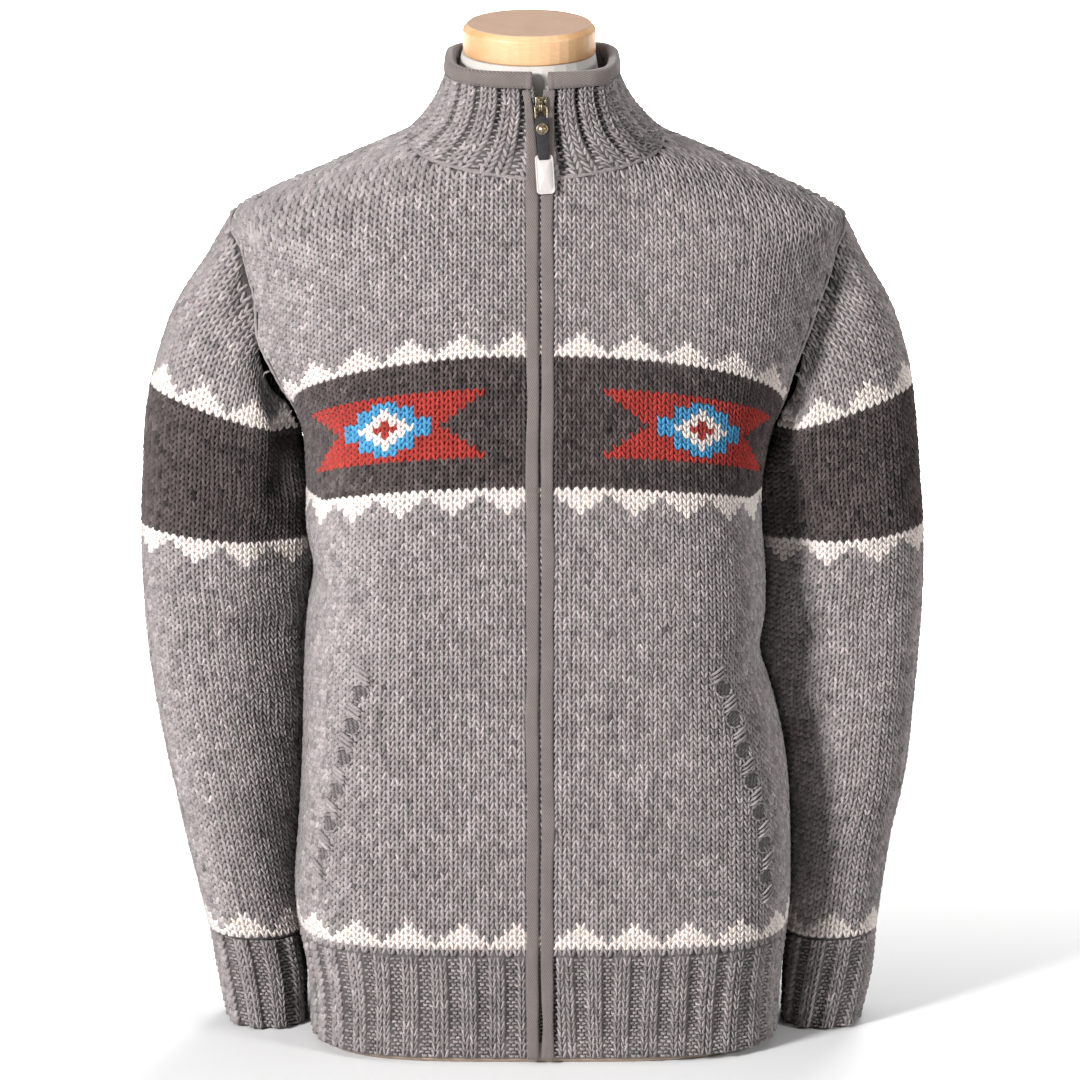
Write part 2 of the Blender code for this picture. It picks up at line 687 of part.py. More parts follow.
# Middle line of each pocket edge on the panel: distance from the zip, height, from the top down.
POCKET_LEFT = ((0.1355, 0.3062), (0.1418, 0.2803), (0.1481, 0.2529), (0.1541, 0.2263), (0.1605, 0.1996), (0.1667, 0.1722), (0.1712, 0.1475))
POCKET_RIGHT = ((0.1365, 0.3080), (0.1463, 0.2830), (0.1545, 0.2580), (0.1608, 0.2335), (0.1670, 0.2070), (0.1730, 0.1805), (0.1762, 0.1545), (0.1768, 0.1290))


def turn_at(hand, x, height):
    turns = np.linspace(0, 1, 161)
    reach = [abs(body_point(hand * t, height)[0]) for t in turns]
    return float(np.interp(x, reach, turns))


def build_pocket(hand, side, table, knit):
    """Openwork edge lying on the panel: a ladder with one square gap between each two rungs."""
    xs = np.array([x for x, _ in table])
    zs = np.array([z for _, z in table])
    places = []
    for k in range(len(table) - 1):
        places += [k, k + 0.34, k + 0.66]
    places.append(len(table) - 1)
    outer, inner = [], []
    for place in places:
        z = float(np.interp(place, range(len(zs)), zs))
        x = float(np.interp(place, range(len(xs)), xs))
        turn = turn_at(hand, x, z)
        quarter = 0.0075 * part_at_gap(hand, z, 1.0)
        row_outer, row_inner = [], []
        for step in (-1.0, -0.5, 0.5, 1.0):
            at = hand * (turn + step * quarter)
            out = body_normal(at, z)
            point = body_point(at, z)
            row_inner.append(point + out * 0.0007)
            row_outer.append(point + out * 0.0028)
        outer.append(row_outer)
        inner.append(row_inner)
    keep = np.ones((len(places) - 1, 3), bool)
    keep[1::3, 1] = False
    wall("pocket_" + side, np.array(outer), np.array(inner), knit, keep=keep)


def build_form(linen, wood, cream):
    board = []
    for height, inset in ((0.0, 0.002), (0.002, 0.0), (0.016, 0.0), (0.018, 0.002)):
        ring = []
        for turn in np.arange(48) / 12:
            turn = turn if turn <= 2 else turn - 4
            hand = -1 if turn < 0 else 1
            part = abs(turn)
            ahead = part <= 1
            part = part if ahead else 2 - part
            x, y, length = section(0.1705 - inset, (0.1205 if ahead else 0.108) - inset, 4.0)
            x_at = np.interp(part * length[-1], length, x)
            y_at = np.interp(part * length[-1], length, y)
            ring.append((hand * x_at, -y_at if ahead else y_at, height))
        board.append(np.array(ring))
    tube("form_base", board, wood)

    turns = [t if t <= 2 else t - 4 for t in np.arange(32) / 8]
    rings = []
    levels = (0.0183, 0.09, 0.16, 0.23, 0.30, 0.37, 0.43, 0.475, 0.50, 0.52, 0.545, 0.575, 0.605, 0.63,
              0.6475, 0.6625, 0.6755, 0.6885)
    for height in levels:
        ring = []
        for turn in turns:
            close = max(0.0, 1 - 1.8 * abs(abs(turn) - 1)) * np.clip((height - 0.635) / 0.02, 0, 1)
            inset = 0.0095 - 0.0042 * close
            out = body_normal(turn, height)
            if height < 0.02:
                out[2] = 0
            ring.append(body_point(turn, height) - inset * out)
        rings.append(np.array(ring))
    for height, wide, deep, power in ((0.700, 0.086, 0.072, 2.1), (0.713, 0.068, 0.060, 2.0), (0.730, 0.0585, 0.056, 2.0),
                                      (0.750, 0.0555, 0.0550, 2.0), (0.7747, 0.0512, 0.0512, 2.0)):
        ring = []
        x, y, length = section(wide, deep, power)
        for turn in turns:
            hand = -1 if turn < 0 else 1
            part = abs(turn)
            ahead = part <= 1
            part = part if ahead else 2 - part
            x_at = np.interp(part * length[-1], length, x)
            y_at = np.interp(part * length[-1], length, y)
            centre_y = np.interp(height, (0.70, 0.75), (0.004, -0.005))
            ring.append((-0.0088 + hand * x_at, centre_y - y_at if ahead else centre_y + y_at, height))
        rings.append(np.array(ring))
    tube("form_torso", rings, cream)

    cap = []
    for radius, height in ((0.0497, 0.7750), (0.0508, 0.7761), (0.0510, 0.7931), (0.0506, 0.7941), (0.0480, 0.7971),
                           (0.0474, 0.7978)):
        angles = np.arange(40) * math.pi / 20
        cap.append(np.array([(-0.0082 + radius * math.cos(a), -0.005 + radius * math.sin(a), height) for a in angles]))
    tube("neck_cap", cap, wood)


def main():
    clear_scene()
    knit = material("grey_knit", (0.30, 0.29, 0.28), 0.95)
    rib = material("rib_knit", (0.27, 0.26, 0.255), 0.95)
    twill = material("taupe_twill", (0.24, 0.22, 0.20), 0.9)
    tape = material("zip_tape", (0.06, 0.055, 0.055), 0.9)
    brass = material("aged_brass", (0.36, 0.28, 0.15), 0.38, 1.0)
    leather = material("dark_leather", (0.025, 0.024, 0.026), 0.6)
    white = material("white_tag", (0.85, 0.84, 0.82), 0.6)
    wood = material("maple", (0.83, 0.52, 0.22), 0.45)
    cream = material("form_cloth", (0.76, 0.72, 0.67), 0.85)
    panels, rows = build_body(knit)
    for hand, side in ((-1, "left"), (1, "right")):
        build_sleeve(hand, side, panels[hand], rows, knit)
        build_cuff(hand, side, rib)
    build_hems(rib)
    build_collar(rib)
    build_collar_binding(twill)
    build_zip(twill, tape, brass, leather, white)
    build_pocket(-1, "left", POCKET_LEFT, knit)
    build_pocket(1, "right", POCKET_RIGHT, knit)
    build_form(cream, wood, cream)


main()
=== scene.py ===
import math

import bmesh
import bpy
import numpy as np
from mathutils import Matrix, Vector, kdtree


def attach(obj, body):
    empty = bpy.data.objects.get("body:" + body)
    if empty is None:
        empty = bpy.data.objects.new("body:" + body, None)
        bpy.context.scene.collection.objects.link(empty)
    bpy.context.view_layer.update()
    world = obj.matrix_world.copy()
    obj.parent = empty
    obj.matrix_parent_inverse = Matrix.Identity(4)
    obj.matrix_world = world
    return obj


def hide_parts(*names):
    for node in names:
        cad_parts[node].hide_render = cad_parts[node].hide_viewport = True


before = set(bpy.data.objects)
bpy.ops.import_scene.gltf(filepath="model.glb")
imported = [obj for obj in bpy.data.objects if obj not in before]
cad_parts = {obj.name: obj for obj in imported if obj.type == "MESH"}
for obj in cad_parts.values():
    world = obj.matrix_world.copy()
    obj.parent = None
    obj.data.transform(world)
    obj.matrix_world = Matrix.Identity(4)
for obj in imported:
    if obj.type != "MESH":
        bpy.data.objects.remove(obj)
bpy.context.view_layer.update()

# Metres, +Z up. The front faces -Y, X = 0 is the closed zip, Z = 0 the surface the form stands on.

# Walls of the solids, gap at a seam, and the knit's edge beside the zip.
WALL = 0.004
SEAM = 0.0003
EDGE = 0.003

# Heights of hem, armpits, shoulder tips, neckline and collar rim, and the middle of neck and rim.
HEM_LOW = 0.0045
HEM_SEAM = 0.0905
ARMPIT = 0.475
TIP = 0.6475
NECK_FRONT = 0.6925
NECK_SIDE = 0.7076
NECK_BACK = 0.6975
RIM = 0.7708
NECK_X = -0.0060
NECK_Y = -0.004

# Width of a knit column, depth of the cloth under the garment's outline, thickness of the cloth.
COLUMN = 0.0070
UNDER = 0.0019
CLOTH, COLLAR_CLOTH = 0.0014, 0.0022

# Columns of half the body and half a sleeve, and their rows.
BODY_COLUMNS, BODY_ROWS = 48, range(-1, 135)
SLEEVE_COLUMNS, SLEEVE_ROWS = 30, range(0, 116)

# Ribs from the middle to a side, how far each hem piece's are moved, ribs round a cuff and the collar;
# depth of their crests under the outline and of the grooves under the crests.
HEM_RIBS = 12.25
HEM_SHIFT = {"hem_left": 0.50, "hem_right": 0.19, "hem_back": 0.0}
CUFF_RIBS = 10
COLLAR_RIBS = 26
RIB_CREST, CUFF_CREST = 0.0014, 0.0016
RIB_GROOVE, COLLAR_GROOVE = 0.0034, 0.0050

# Knitted grounds: a row's length in the stitch's own shape and on the garment, the rows between two
# lines of a ground, its step across, and the steps for each rib.
ROW = 0.0050
ROW_STEP = 0.00505
HALF = 0.5
GROUND_STEP = 0.0035
RIB_STEPS = 24
FIRST_ROW, LAST_ROW = -4, 140
CUFF_ROWS, HEM_ROWS, COLLAR_ROWS = 13, 15, 16

# Depth of the sleeves' middle, how far they lean in, and the shares where sleeve and cuff meet.
SLEEVE_MIDDLE = 0.004
SLEEVE_LEAN = 0.0142
SLEEVE_END, CUFF_START = 0.8996, 0.9004

# Creases are the body's or a sleeve's by their distance from the middle.
BODY_CREASES = (0.0, 0.1999)
SLEEVE_CREASES = (0.2, 0.4)

# The materials read a piece's own lay in millimetres, moved on for each stitch.
LAY = 1000
LAY_APART = 13.7

# Garment outline: height, left half-width, right half-width, front depth, back depth,
# squareness of the section, depth of the side line.
BODY = np.array([
    [0.0040, 0.1785, 0.1850, 0.1250, 0.1150, 4.0, 0.000],
    [0.0450, 0.1798, 0.1872, 0.1250, 0.1180, 4.0, 0.000],
    [0.0900, 0.1875, 0.1921, 0.1250, 0.1200, 4.0, 0.000],
    [0.1150, 0.1896, 0.1935, 0.1250, 0.1215, 3.9, 0.000],
    [0.1450, 0.1878, 0.1933, 0.1250, 0.1220, 3.80, 0.000],
    [0.1850, 0.1850, 0.1923, 0.1250, 0.1210, 3.75, 0.000],
    [0.2300, 0.1828, 0.1874, 0.1250, 0.1180, 3.65, 0.000],
    [0.2730, 0.1820, 0.1775, 0.1250, 0.1150, 3.55, 0.000],
    [0.3010, 0.1810, 0.1690, 0.1250, 0.1140, 3.45, 0.000],
    [0.3380, 0.1783, 0.1729, 0.1250, 0.1140, 3.35, 0.000],
    [0.3680, 0.1737, 0.1727, 0.1250, 0.1150, 3.25, 0.000],
    [0.4030, 0.1793, 0.1700, 0.1250, 0.1170, 3.00, 0.000],
    [0.4380, 0.1795, 0.1705, 0.1250, 0.1190, 2.65, 0.000],
    [0.4750, 0.1830, 0.1785, 0.1248, 0.1210, 2.30, 0.000],
    [0.5000, 0.1925, 0.1890, 0.1240, 0.1220, 2.18, 0.001],
    [0.5200, 0.2090, 0.2000, 0.1230, 0.1220, 2.12, 0.003],
    [0.5550, 0.2314, 0.2180, 0.1200, 0.1215, 2.10, 0.006],
    [0.5900, 0.2300, 0.2265, 0.1155, 0.1200, 2.10, 0.009],
    [0.6200, 0.2350, 0.2330, 0.1095, 0.1160, 2.10, 0.011],
    [0.6475, 0.2348, 0.2310, 0.1018, 0.1080, 2.10, 0.012],
    [0.6625, 0.2060, 0.2020, 0.0968, 0.1030, 2.05, 0.013],
    [0.6755, 0.1765, 0.1735, 0.0918, 0.0970, 2.0, 0.015],
    [0.6917, 0.1390, 0.1340, 0.0853, 0.0885, 2.0, 0.018],
    [0.7076, 0.1010, 0.0940, 0.0760, 0.0790, 2.0, 0.020],
])

# Armhole seam: height, depth of its front edge, depth of its back edge.
ARMHOLE = np.array([
    [0.4750, 0.000, 0.000],
    [0.4850, -0.012, 0.024],
    [0.5000, -0.022, 0.040],
    [0.5200, -0.036, 0.052],
    [0.5450, -0.043, 0.060],
    [0.5750, -0.036, 0.060],
    [0.6000, -0.025, 0.052],
    [0.6200, -0.019, 0.042],
    [0.6350, -0.008, 0.030],
    [0.6475, 0.012, 0.012],
])

# Sleeve: share of the way down, outer height, left outer, right outer, inner height,
# clearance beside the body, front depth, back depth, squareness.
SLEEVE = np.array([
    [0.00, 0.6475, 0.2348, 0.2310, 0.4750, 0.0005, 0.046, 0.062, 2.2],
    [0.06, 0.6140, 0.2550, 0.2480, 0.4640, 0.0045, 0.050, 0.064, 2.1],
    [0.12, 0.5760, 0.2798, 0.2700, 0.4480, 0.0030, 0.053, 0.065, 2.1],
    [0.19, 0.5310, 0.2962, 0.2842, 0.4230, 0.0022, 0.050, 0.070, 2.1],
    [0.26, 0.4900, 0.3045, 0.2902, 0.3940, 0.0022, 0.048, 0.072, 2.05],
    [0.34, 0.4400, 0.3075, 0.2940, 0.3580, 0.0022, 0.047, 0.072, 2.05],
    [0.42, 0.3930, 0.3090, 0.2972, 0.3230, 0.0022, 0.047, 0.070, 2.05],
    [0.50, 0.3430, 0.3075, 0.2968, 0.2870, 0.0022, 0.046, 0.068, 2.05],
    [0.58, 0.2950, 0.3035, 0.2938, 0.2510, 0.0022, 0.046, 0.065, 2.1],
    [0.66, 0.2450, 0.2960, 0.2895, 0.2130, 0.0022, 0.045, 0.061, 2.1],
    [0.74, 0.1950, 0.2862, 0.2840, 0.1730, 0.0022, 0.045, 0.057, 2.15],
    [0.82, 0.1450, 0.2752, 0.2728, 0.1320, 0.0022, 0.044, 0.051, 2.2],
    [0.90, 0.0740, 0.2585, 0.2628, 0.0720, 0.0028, 0.043, 0.046, 2.4],
    [0.95, 0.0380, 0.2520, 0.2592, 0.0380, 0.0035, 0.043, 0.044, 2.5],
    [1.00, 0.0010, 0.2450, 0.2510, 0.0010, 0.0045, 0.043, 0.041, 2.6],
])

# Sleeve folds pushed in: share down, angle from the outer line (degrees, front negative),
# depth, half-length along the sleeve, half-width round it, tilt.
FOLDS = [
    (0.30, -115, 0.0060, 0.035, 45, 0.10),
    (0.46, -125, 0.0085, 0.030, 50, -0.08),
    (0.60, -120, 0.0060, 0.030, 45, 0.08),
    (0.50, 110, 0.0060, 0.035, 45, 0.10),
    (0.72, 60, 0.0030, 0.030, 50, 0.10),
]

# How far the sleeve still follows the armhole seam, by share of the way down.
HOLD = np.array([[0, 1], [0.05, 0.62], [0.10, 0.3], [0.16, 0.1], [0.22, 0.02], [0.28, 0]])

# Height of the body's knitted rows at the zip; how far each droops 0.2 m from it, and how far from it
# the droop goes on.
ROW_HEIGHT = np.array([[-4, 0.0721], [0, 0.0923], [72, 0.4605], [93, 0.5630], [121.5, 0.6925], [140, 0.7790]])
ROW_DROOP = np.array([[0, 0.0, 0.20], [72, 0.029, 0.19], [93, 0.0395, 0.235], [140, 0.0395, 0.24]])

# Sleeve rows: row, height on the outer line, drop towards the body for each metre.
SLEEVE_ROW = np.array([
    [-2, 0.0650, 0.01],
    [0, 0.0755, 0.01],
    [34, 0.2450, 0.04],
    [66, 0.4012, 0.09],
    [87, 0.5120, 0.30],
    [112, 0.6475, 0.42],
    [120, 0.6800, 0.45],
])


# ---------------------------------------------------------------- lines and sections

def curve(table, column, at):
    """Smooth value of one table column, read along the first column."""
    x = table[:, 0]
    y = table[:, column]
    slope = np.gradient(y, x)
    at = np.clip(at, x[0], x[-1])
    k = np.clip(np.searchsorted(x, at) - 1, 0, len(x) - 2)
    step = x[k + 1] - x[k]
    t = (at - x[k]) / step
    ends = (1 + 2 * t) * (1 - t) ** 2 * y[k] + t * t * (3 - 2 * t) * y[k + 1]
    return ends + t * (1 - t) * step * ((1 - t) * slope[k] - t * slope[k + 1])


def read(table, column, at):
    """Straight-line value of one table column."""
    return np.interp(at, table[:, 0], table[:, column])


def smooth(low, high, at):
    t = np.clip((np.asarray(at, float) - low) / (high - low), 0, 1)
    return t * t * (3 - 2 * t)


def unit(vectors):
    """The vectors at length 1; one without length stays as it is."""
    return vectors / np.maximum(np.linalg.norm(vectors, axis=-1, keepdims=True), 1e-12)


def run_along(points):
    """Distance along a line of points, at each of them."""
    return np.concatenate([[0], np.cumsum(np.linalg.norm(np.diff(points, axis=0), axis=1))])


QUARTER = np.linspace(0, 1, 129)


def quarter(width, depth, power):
    """Quarter of a rounded section from its front middle to its side, evenly spaced, and its length."""
    angle = np.linspace(0, math.pi / 2, 257)
    across, ahead = np.sin(angle), np.cos(angle)
    reach = (across ** power + ahead ** power) ** (-1 / power)
    x, y = width * reach * across, depth * reach * ahead
    length = np.concatenate([[0], np.cumsum(np.hypot(np.diff(x), np.diff(y)))])
    at = QUARTER * length[-1]
    return np.interp(at, length, x), np.interp(at, length, y), length[-1]


LEVEL = 0.001
LEVELS = np.arange(0.0, 0.7085, LEVEL)


def body_table():
    """Points of the garment at each level, for left and right, front and back."""
    points = np.empty((2, 2, len(LEVELS), len(QUARTER), 2))
    lengths = np.empty((2, 2, len(LEVELS)))
    for row, height in enumerate(LEVELS):
        left, right, front, back, power, side = [float(curve(BODY, k, height)) for k in range(1, 7)]
        for hand in (0, 1):
            for behind in (0, 1):
                x, y, length = quarter((left, right)[hand], back - side if behind else front + side, power)
                points[hand, behind, row, :, 0] = x if hand else -x
                points[hand, behind, row, :, 1] = side + y if behind else side - y
                lengths[hand, behind, row] = length
    return points, lengths


BODY_POINTS, BODY_LENGTHS = body_table()


def body(turn, height):
    """Outer surface of the garment. Turn 0 is the front middle, 1 the right side line, 2 the back
    middle, -1 the left side line."""
    turn, height = np.broadcast_arrays(np.asarray(turn, float), np.asarray(height, float))
    turn = (turn + 2) % 4 - 2
    hand = (turn >= 0).astype(int)
    part = np.abs(turn)
    behind = (part > 1).astype(int)
    part = np.where(behind == 1, 2 - part, part)
    row = np.clip(height / LEVEL, 0, len(LEVELS) - 1.001)
    column = np.clip(part * (len(QUARTER) - 1), 0, len(QUARTER) - 1.001)
    i, j = row.astype(int), column.astype(int)
    f, g = (row - i)[..., None], (column - j)[..., None]
    low = BODY_POINTS[hand, behind, i, j] * (1 - g) + BODY_POINTS[hand, behind, i, j + 1] * g
    high = BODY_POINTS[hand, behind, i + 1, j] * (1 - g) + BODY_POINTS[hand, behind, i + 1, j + 1] * g
    return np.concatenate([low * (1 - f) + high * f, height[..., None]], -1)


def neck_height(turn):
    part = np.abs((np.asarray(turn, float) + 2) % 4 - 2)
    return np.interp(part, [0, 1, 2], [NECK_FRONT, NECK_SIDE, NECK_BACK])


def level_row(height):
    return int(round(min(max(height, 0), LEVELS[-1]) / LEVEL))


def part_at_gap(hand, height, gap, back=0):
    """Share of the quarter section taken by a distance from the middle line."""
    return gap / BODY_LENGTHS[int(hand > 0), back, level_row(height)]


def part_at_depth(hand, height, y_at, back=0):
    """Share of the quarter section where it reaches a given depth."""
    y = BODY_POINTS[int(hand > 0), back, level_row(height), :, 1]
    if back:
        return float(np.interp(y_at, y[::-1], QUARTER[::-1]))
    return float(np.interp(y_at, y, QUARTER))


def side_end(hand, height, back=0):
    """Where a body panel ends, as a share of the way from its middle to the side line."""
    end = 1 - part_at_gap(hand, height, SEAM / 2, back)
    if ARMPIT < height < TIP:
        end = min(end, part_at_depth(hand, height, float(curve(ARMHOLE, 2 if back else 1, height)), back))
    return end


END_HEIGHTS = np.linspace(HEM_LOW, TIP, 420)
SIDE_ENDS = {(hand, back): np.array([side_end(hand, h, back) for h in END_HEIGHTS])
             for hand in (-1, 1) for back in (0, 1)}


def armhole_edge(hand, angles):
    """Points of the armhole seam; angle 0 is the shoulder tip, pi the armpit, the front between."""
    made = []
    for angle in np.asarray(angles) % (2 * math.pi):
        height = (ARMPIT + TIP) / 2 + (TIP - ARMPIT) / 2 * math.cos(angle)
        back = int(angle > math.pi)
        end = 1 - part_at_gap(hand, height, SEAM / 2, back)
        depth = float(curve(ARMHOLE, 2 if back else 1, height))
        part = min(end, part_at_depth(hand, height, depth, back))
        made.append(body(hand * (2 - part if back else part), height))
    return np.array(made)


def sleeve_rings(hand, shares, angles):
    """Rings [share, angle] of a sleeve without its folds, and their middles. Angle 0 is its outer
    line and rises towards the front."""
    high, left_out, right_out, low, clear, front, back, power = [curve(SLEEVE, k, shares)[:, None]
                                                                 for k in range(1, 9)]
    out = left_out if hand < 0 else right_out
    inside = curve(BODY, 1 if hand < 0 else 2, low) + clear
    c, s = np.cos(angles)[None], np.sin(angles)[None]
    size = (np.abs(c) ** power + np.abs(s) ** power) ** (-1 / power)
    middle = np.stack([hand * (out + inside) / 2, SLEEVE_MIDDLE + 0 * out, (high + low) / 2], -1)
    reach = np.stack([hand * (out - inside) / 2, 0 * out, (high - low) / 2], -1)
    ring = middle + (size * c)[..., None] * reach
    ring[..., 1] -= size * s * np.where(s > 0, front, back)
    return ring, middle


def sleeve(hand, shares, angles):
    """Points [share, angle] of a sleeve, with its folds, its upper end drawn to the armhole."""
    shares = np.asarray(shares, float)
    ring, middle = sleeve_rings(hand, shares, angles)
    turned = np.degrees((angles + math.pi) % (2 * math.pi) - math.pi)
    for at, around, amount, length, width, tilt in FOLDS:
        away = (turned + around + 180) % 360 - 180
        along = shares[:, None] - at - tilt * away / 180
        press = amount * np.exp(-(along / length) ** 2 - (away / width) ** 2)
        ring += unit(middle - ring) * press[..., None]
    hold = read(HOLD, 1, shares)
    if hold.max() > 0:
        plain = sleeve_rings(hand, np.zeros(1), angles)[0][0]
        ring += hold[:, None, None] * (armhole_edge(hand, angles) - plain)
    return ring


RIM_LEFT = quarter(0.0645 - NECK_X, 0.062, 3.6)
RIM_RIGHT = quarter(0.0645 + NECK_X, 0.062, 3.6)


def collar(turn, share):
    """Outer surface of the collar from its seam (share 0) to its rim (share 1)."""
    turn, share = np.broadcast_arrays(np.asarray(turn, float), np.asarray(share, float))
    turn = (turn + 2) % 4 - 2
    hand = np.where(turn < 0, -1, 1)
    base = body(turn, neck_height(turn) + 2 * SEAM)
    part = np.abs(turn)
    ahead = part <= 1
    part = np.where(ahead, part, 2 - part)
    x_at = np.where(hand < 0, np.interp(part, QUARTER, RIM_LEFT[0]), np.interp(part, QUARTER, RIM_RIGHT[0]))
    y_at = np.where(hand < 0, np.interp(part, QUARTER, RIM_LEFT[1]), np.interp(part, QUARTER, RIM_RIGHT[1]))
    rim = np.stack([hand * x_at, np.where(ahead, NECK_Y - y_at, NECK_Y + y_at),
                    RIM + 0.001 * np.sin(math.pi / 2 * part) - np.where(ahead, 0, 0.005 * (1 - part))], -1)
    spread = (1 - share) ** (1.6 + 0.25 * np.where(ahead, np.minimum(1, 2 * part), 1))
    point = rim + (base - rim) * spread[..., None]
    point[..., 2] = base[..., 2] + (rim[..., 2] - base[..., 2]) * share
    return point


def collar_turn(hand, share):
    """Turn at which the knitted edge lies beside the zip; it opens towards the rim."""
    opening = EDGE + 0.0030 * max(0.0, (share - 0.70) / 0.30)
    turns = np.linspace(0, 0.3, 400)
    return float(np.interp(opening, np.abs(collar(hand * turns, share)[:, 0]), turns))


def front_line(height):
    """Depth of the front middle of body and collar."""
    height = np.asarray(height, float)
    share = np.clip((height - NECK_FRONT) / (RIM - NECK_FRONT), 0, 1)
    return np.where(height <= NECK_FRONT, -curve(BODY, 3, height), collar(0.0, share)[..., 1])


# ---------------------------------------------------------------- creases

# Soft troughs and ridges: the two ends, half-width, depth (negative stands out).
CREASES = [
    ((-0.190, -0.100, 0.470), (-0.120, -0.125, 0.432), 0.013, 0.0026),
    ((-0.186, -0.095, 0.440), (-0.138, -0.120, 0.380), 0.014, 0.0022),
    ((-0.182, -0.095, 0.360), (-0.150, -0.118, 0.300), 0.013, 0.0018),
    ((-0.205, -0.095, 0.520), (-0.165, -0.118, 0.585), 0.016, 0.0028),
    ((-0.100, -0.125, 0.400), (-0.060, -0.125, 0.330), 0.018, 0.0012),
    ((-0.150, -0.120, 0.190), (-0.110, -0.125, 0.140), 0.016, 0.0014),
    ((-0.060, -0.122, 0.600), (-0.110, -0.112, 0.645), 0.020, 0.0014),
    ((0.180, -0.100, 0.468), (0.125, -0.125, 0.425), 0.014, 0.0026),
    ((0.176, -0.095, 0.430), (0.140, -0.119, 0.362), 0.013, 0.0020),
    ((0.200, -0.095, 0.515), (0.158, -0.119, 0.590), 0.016, 0.0026),
    ((0.172, -0.095, 0.330), (0.150, -0.116, 0.262), 0.015, 0.0018),
    ((0.090, -0.125, 0.300), (0.070, -0.125, 0.220), 0.018, 0.0012),
    ((0.150, -0.120, 0.180), (0.120, -0.125, 0.130), 0.015, 0.0012),
    ((0.055, -0.121, 0.610), (0.105, -0.112, 0.650), 0.022, 0.0014),
    ((-0.180, 0.095, 0.470), (-0.115, 0.119, 0.425), 0.014, 0.0028),
    ((0.178, 0.095, 0.466), (0.120, 0.119, 0.410), 0.015, 0.0026),
    ((-0.185, 0.100, 0.380), (-0.130, 0.114, 0.340), 0.014, 0.0020),
    ((0.175, 0.095, 0.340), (0.120, 0.112, 0.300), 0.014, 0.0020),
    ((-0.060, 0.117, 0.560), (0.050, 0.117, 0.552), 0.022, 0.0016),
    ((-0.100, 0.113, 0.250), (-0.020, 0.113, 0.232), 0.020, 0.0014),
    ((0.110, 0.113, 0.215), (0.030, 0.113, 0.196), 0.018, 0.0012),
    ((-0.234, -0.012, 0.630), (-0.216, -0.044, 0.552), 0.014, 0.0105),
    ((-0.216, -0.044, 0.552), (-0.198, -0.028, 0.500), 0.015, 0.0120),
    ((-0.200, -0.026, 0.490), (-0.200, -0.018, 0.425), 0.016, 0.0110),
    ((0.229, -0.014, 0.622), (0.212, -0.044, 0.552), 0.013, 0.0090),
    ((0.212, -0.044, 0.552), (0.203, -0.028, 0.500), 0.015, 0.0120),
    ((0.202, -0.026, 0.480), (0.200, -0.018, 0.410), 0.016, 0.0110),
    ((-0.222, -0.036, 0.600), (-0.206, -0.046, 0.525), 0.010, 0.0080),
    ((0.219, -0.032, 0.612), (0.203, -0.045, 0.525), 0.010, 0.0090),
    ((-0.186, -0.076, 0.500), (-0.181, -0.070, 0.430), 0.017, 0.0080),
    ((0.183, -0.076, 0.490), (0.177, -0.070, 0.415), 0.017, 0.0080),
    ((-0.235, -0.060, 0.575), (-0.262, -0.058, 0.500), 0.012, 0.0030),
    ((-0.213, -0.055, 0.590), (-0.214, -0.058, 0.500), 0.011, 0.0034),
    ((-0.190, -0.040, 0.352), (-0.245, -0.052, 0.372), 0.011, 0.0040),
    ((-0.196, -0.045, 0.300), (-0.240, -0.052, 0.282), 0.013, 0.0030),
    ((-0.288, -0.030, 0.330), (-0.250, -0.055, 0.312), 0.012, 0.0016),
    ((-0.200, -0.045, 0.230), (-0.240, -0.050, 0.212), 0.013, 0.0022),
    ((-0.210, -0.040, 0.150), (-0.240, -0.046, 0.130), 0.012, 0.0018),
    ((0.226, -0.060, 0.575), (0.250, -0.058, 0.505), 0.012, 0.0030),
    ((0.205, -0.055, 0.585), (0.205, -0.058, 0.505), 0.011, 0.0032),
    ((0.183, -0.040, 0.368), (0.236, -0.052, 0.388), 0.012, 0.0042),
    ((0.190, -0.045, 0.310), (0.232, -0.052, 0.290), 0.013, 0.0028),
    ((0.280, -0.030, 0.340), (0.240, -0.055, 0.322), 0.012, 0.0018),
    ((0.196, -0.045, 0.240), (0.232, -0.050, 0.220), 0.013, 0.0022),
    ((0.206, -0.040, 0.160), (0.236, -0.046, 0.138), 0.012, 0.0018),
    ((-0.195, 0.050, 0.360), (-0.245, 0.062, 0.376), 0.013, 0.0036),
    ((0.188, 0.050, 0.365), (0.240, 0.062, 0.380), 0.013, 0.0036),
    ((-0.215, 0.058, 0.560), (-0.250, 0.066, 0.500), 0.014, 0.0028),
    ((0.208, 0.058, 0.560), (0.242, 0.066, 0.500), 0.014, 0.0028),
    ((-0.205, 0.050, 0.250), (-0.250, 0.056, 0.236), 0.013, 0.0020),
    ((0.200, 0.050, 0.250), (0.245, 0.056, 0.232), 0.013, 0.0020),
]


def pressed(points, out, low_x, high_x):
    """The points with every crease that lies between two X values pressed in along their normals."""
    for start, end, width, depth in CREASES:
        start, end = np.array(start), np.array(end)
        middle = abs(start[0] + end[0]) / 2
        if not low_x <= middle <= high_x:
            continue
        along = end - start
        t = np.clip(((points - start) @ along) / (along @ along), -0.3, 1.3)
        away = np.linalg.norm(points - (start + t[..., None] * along), axis=-1)
        taper = 1 - 0.8 * smooth(0.5, 1.3, np.abs(t - 0.5) * 2)
        points = points - out * (depth * taper * np.exp(-(away / width) ** 2))[..., None]
    return points


# ---------------------------------------------------------------- knitted grounds

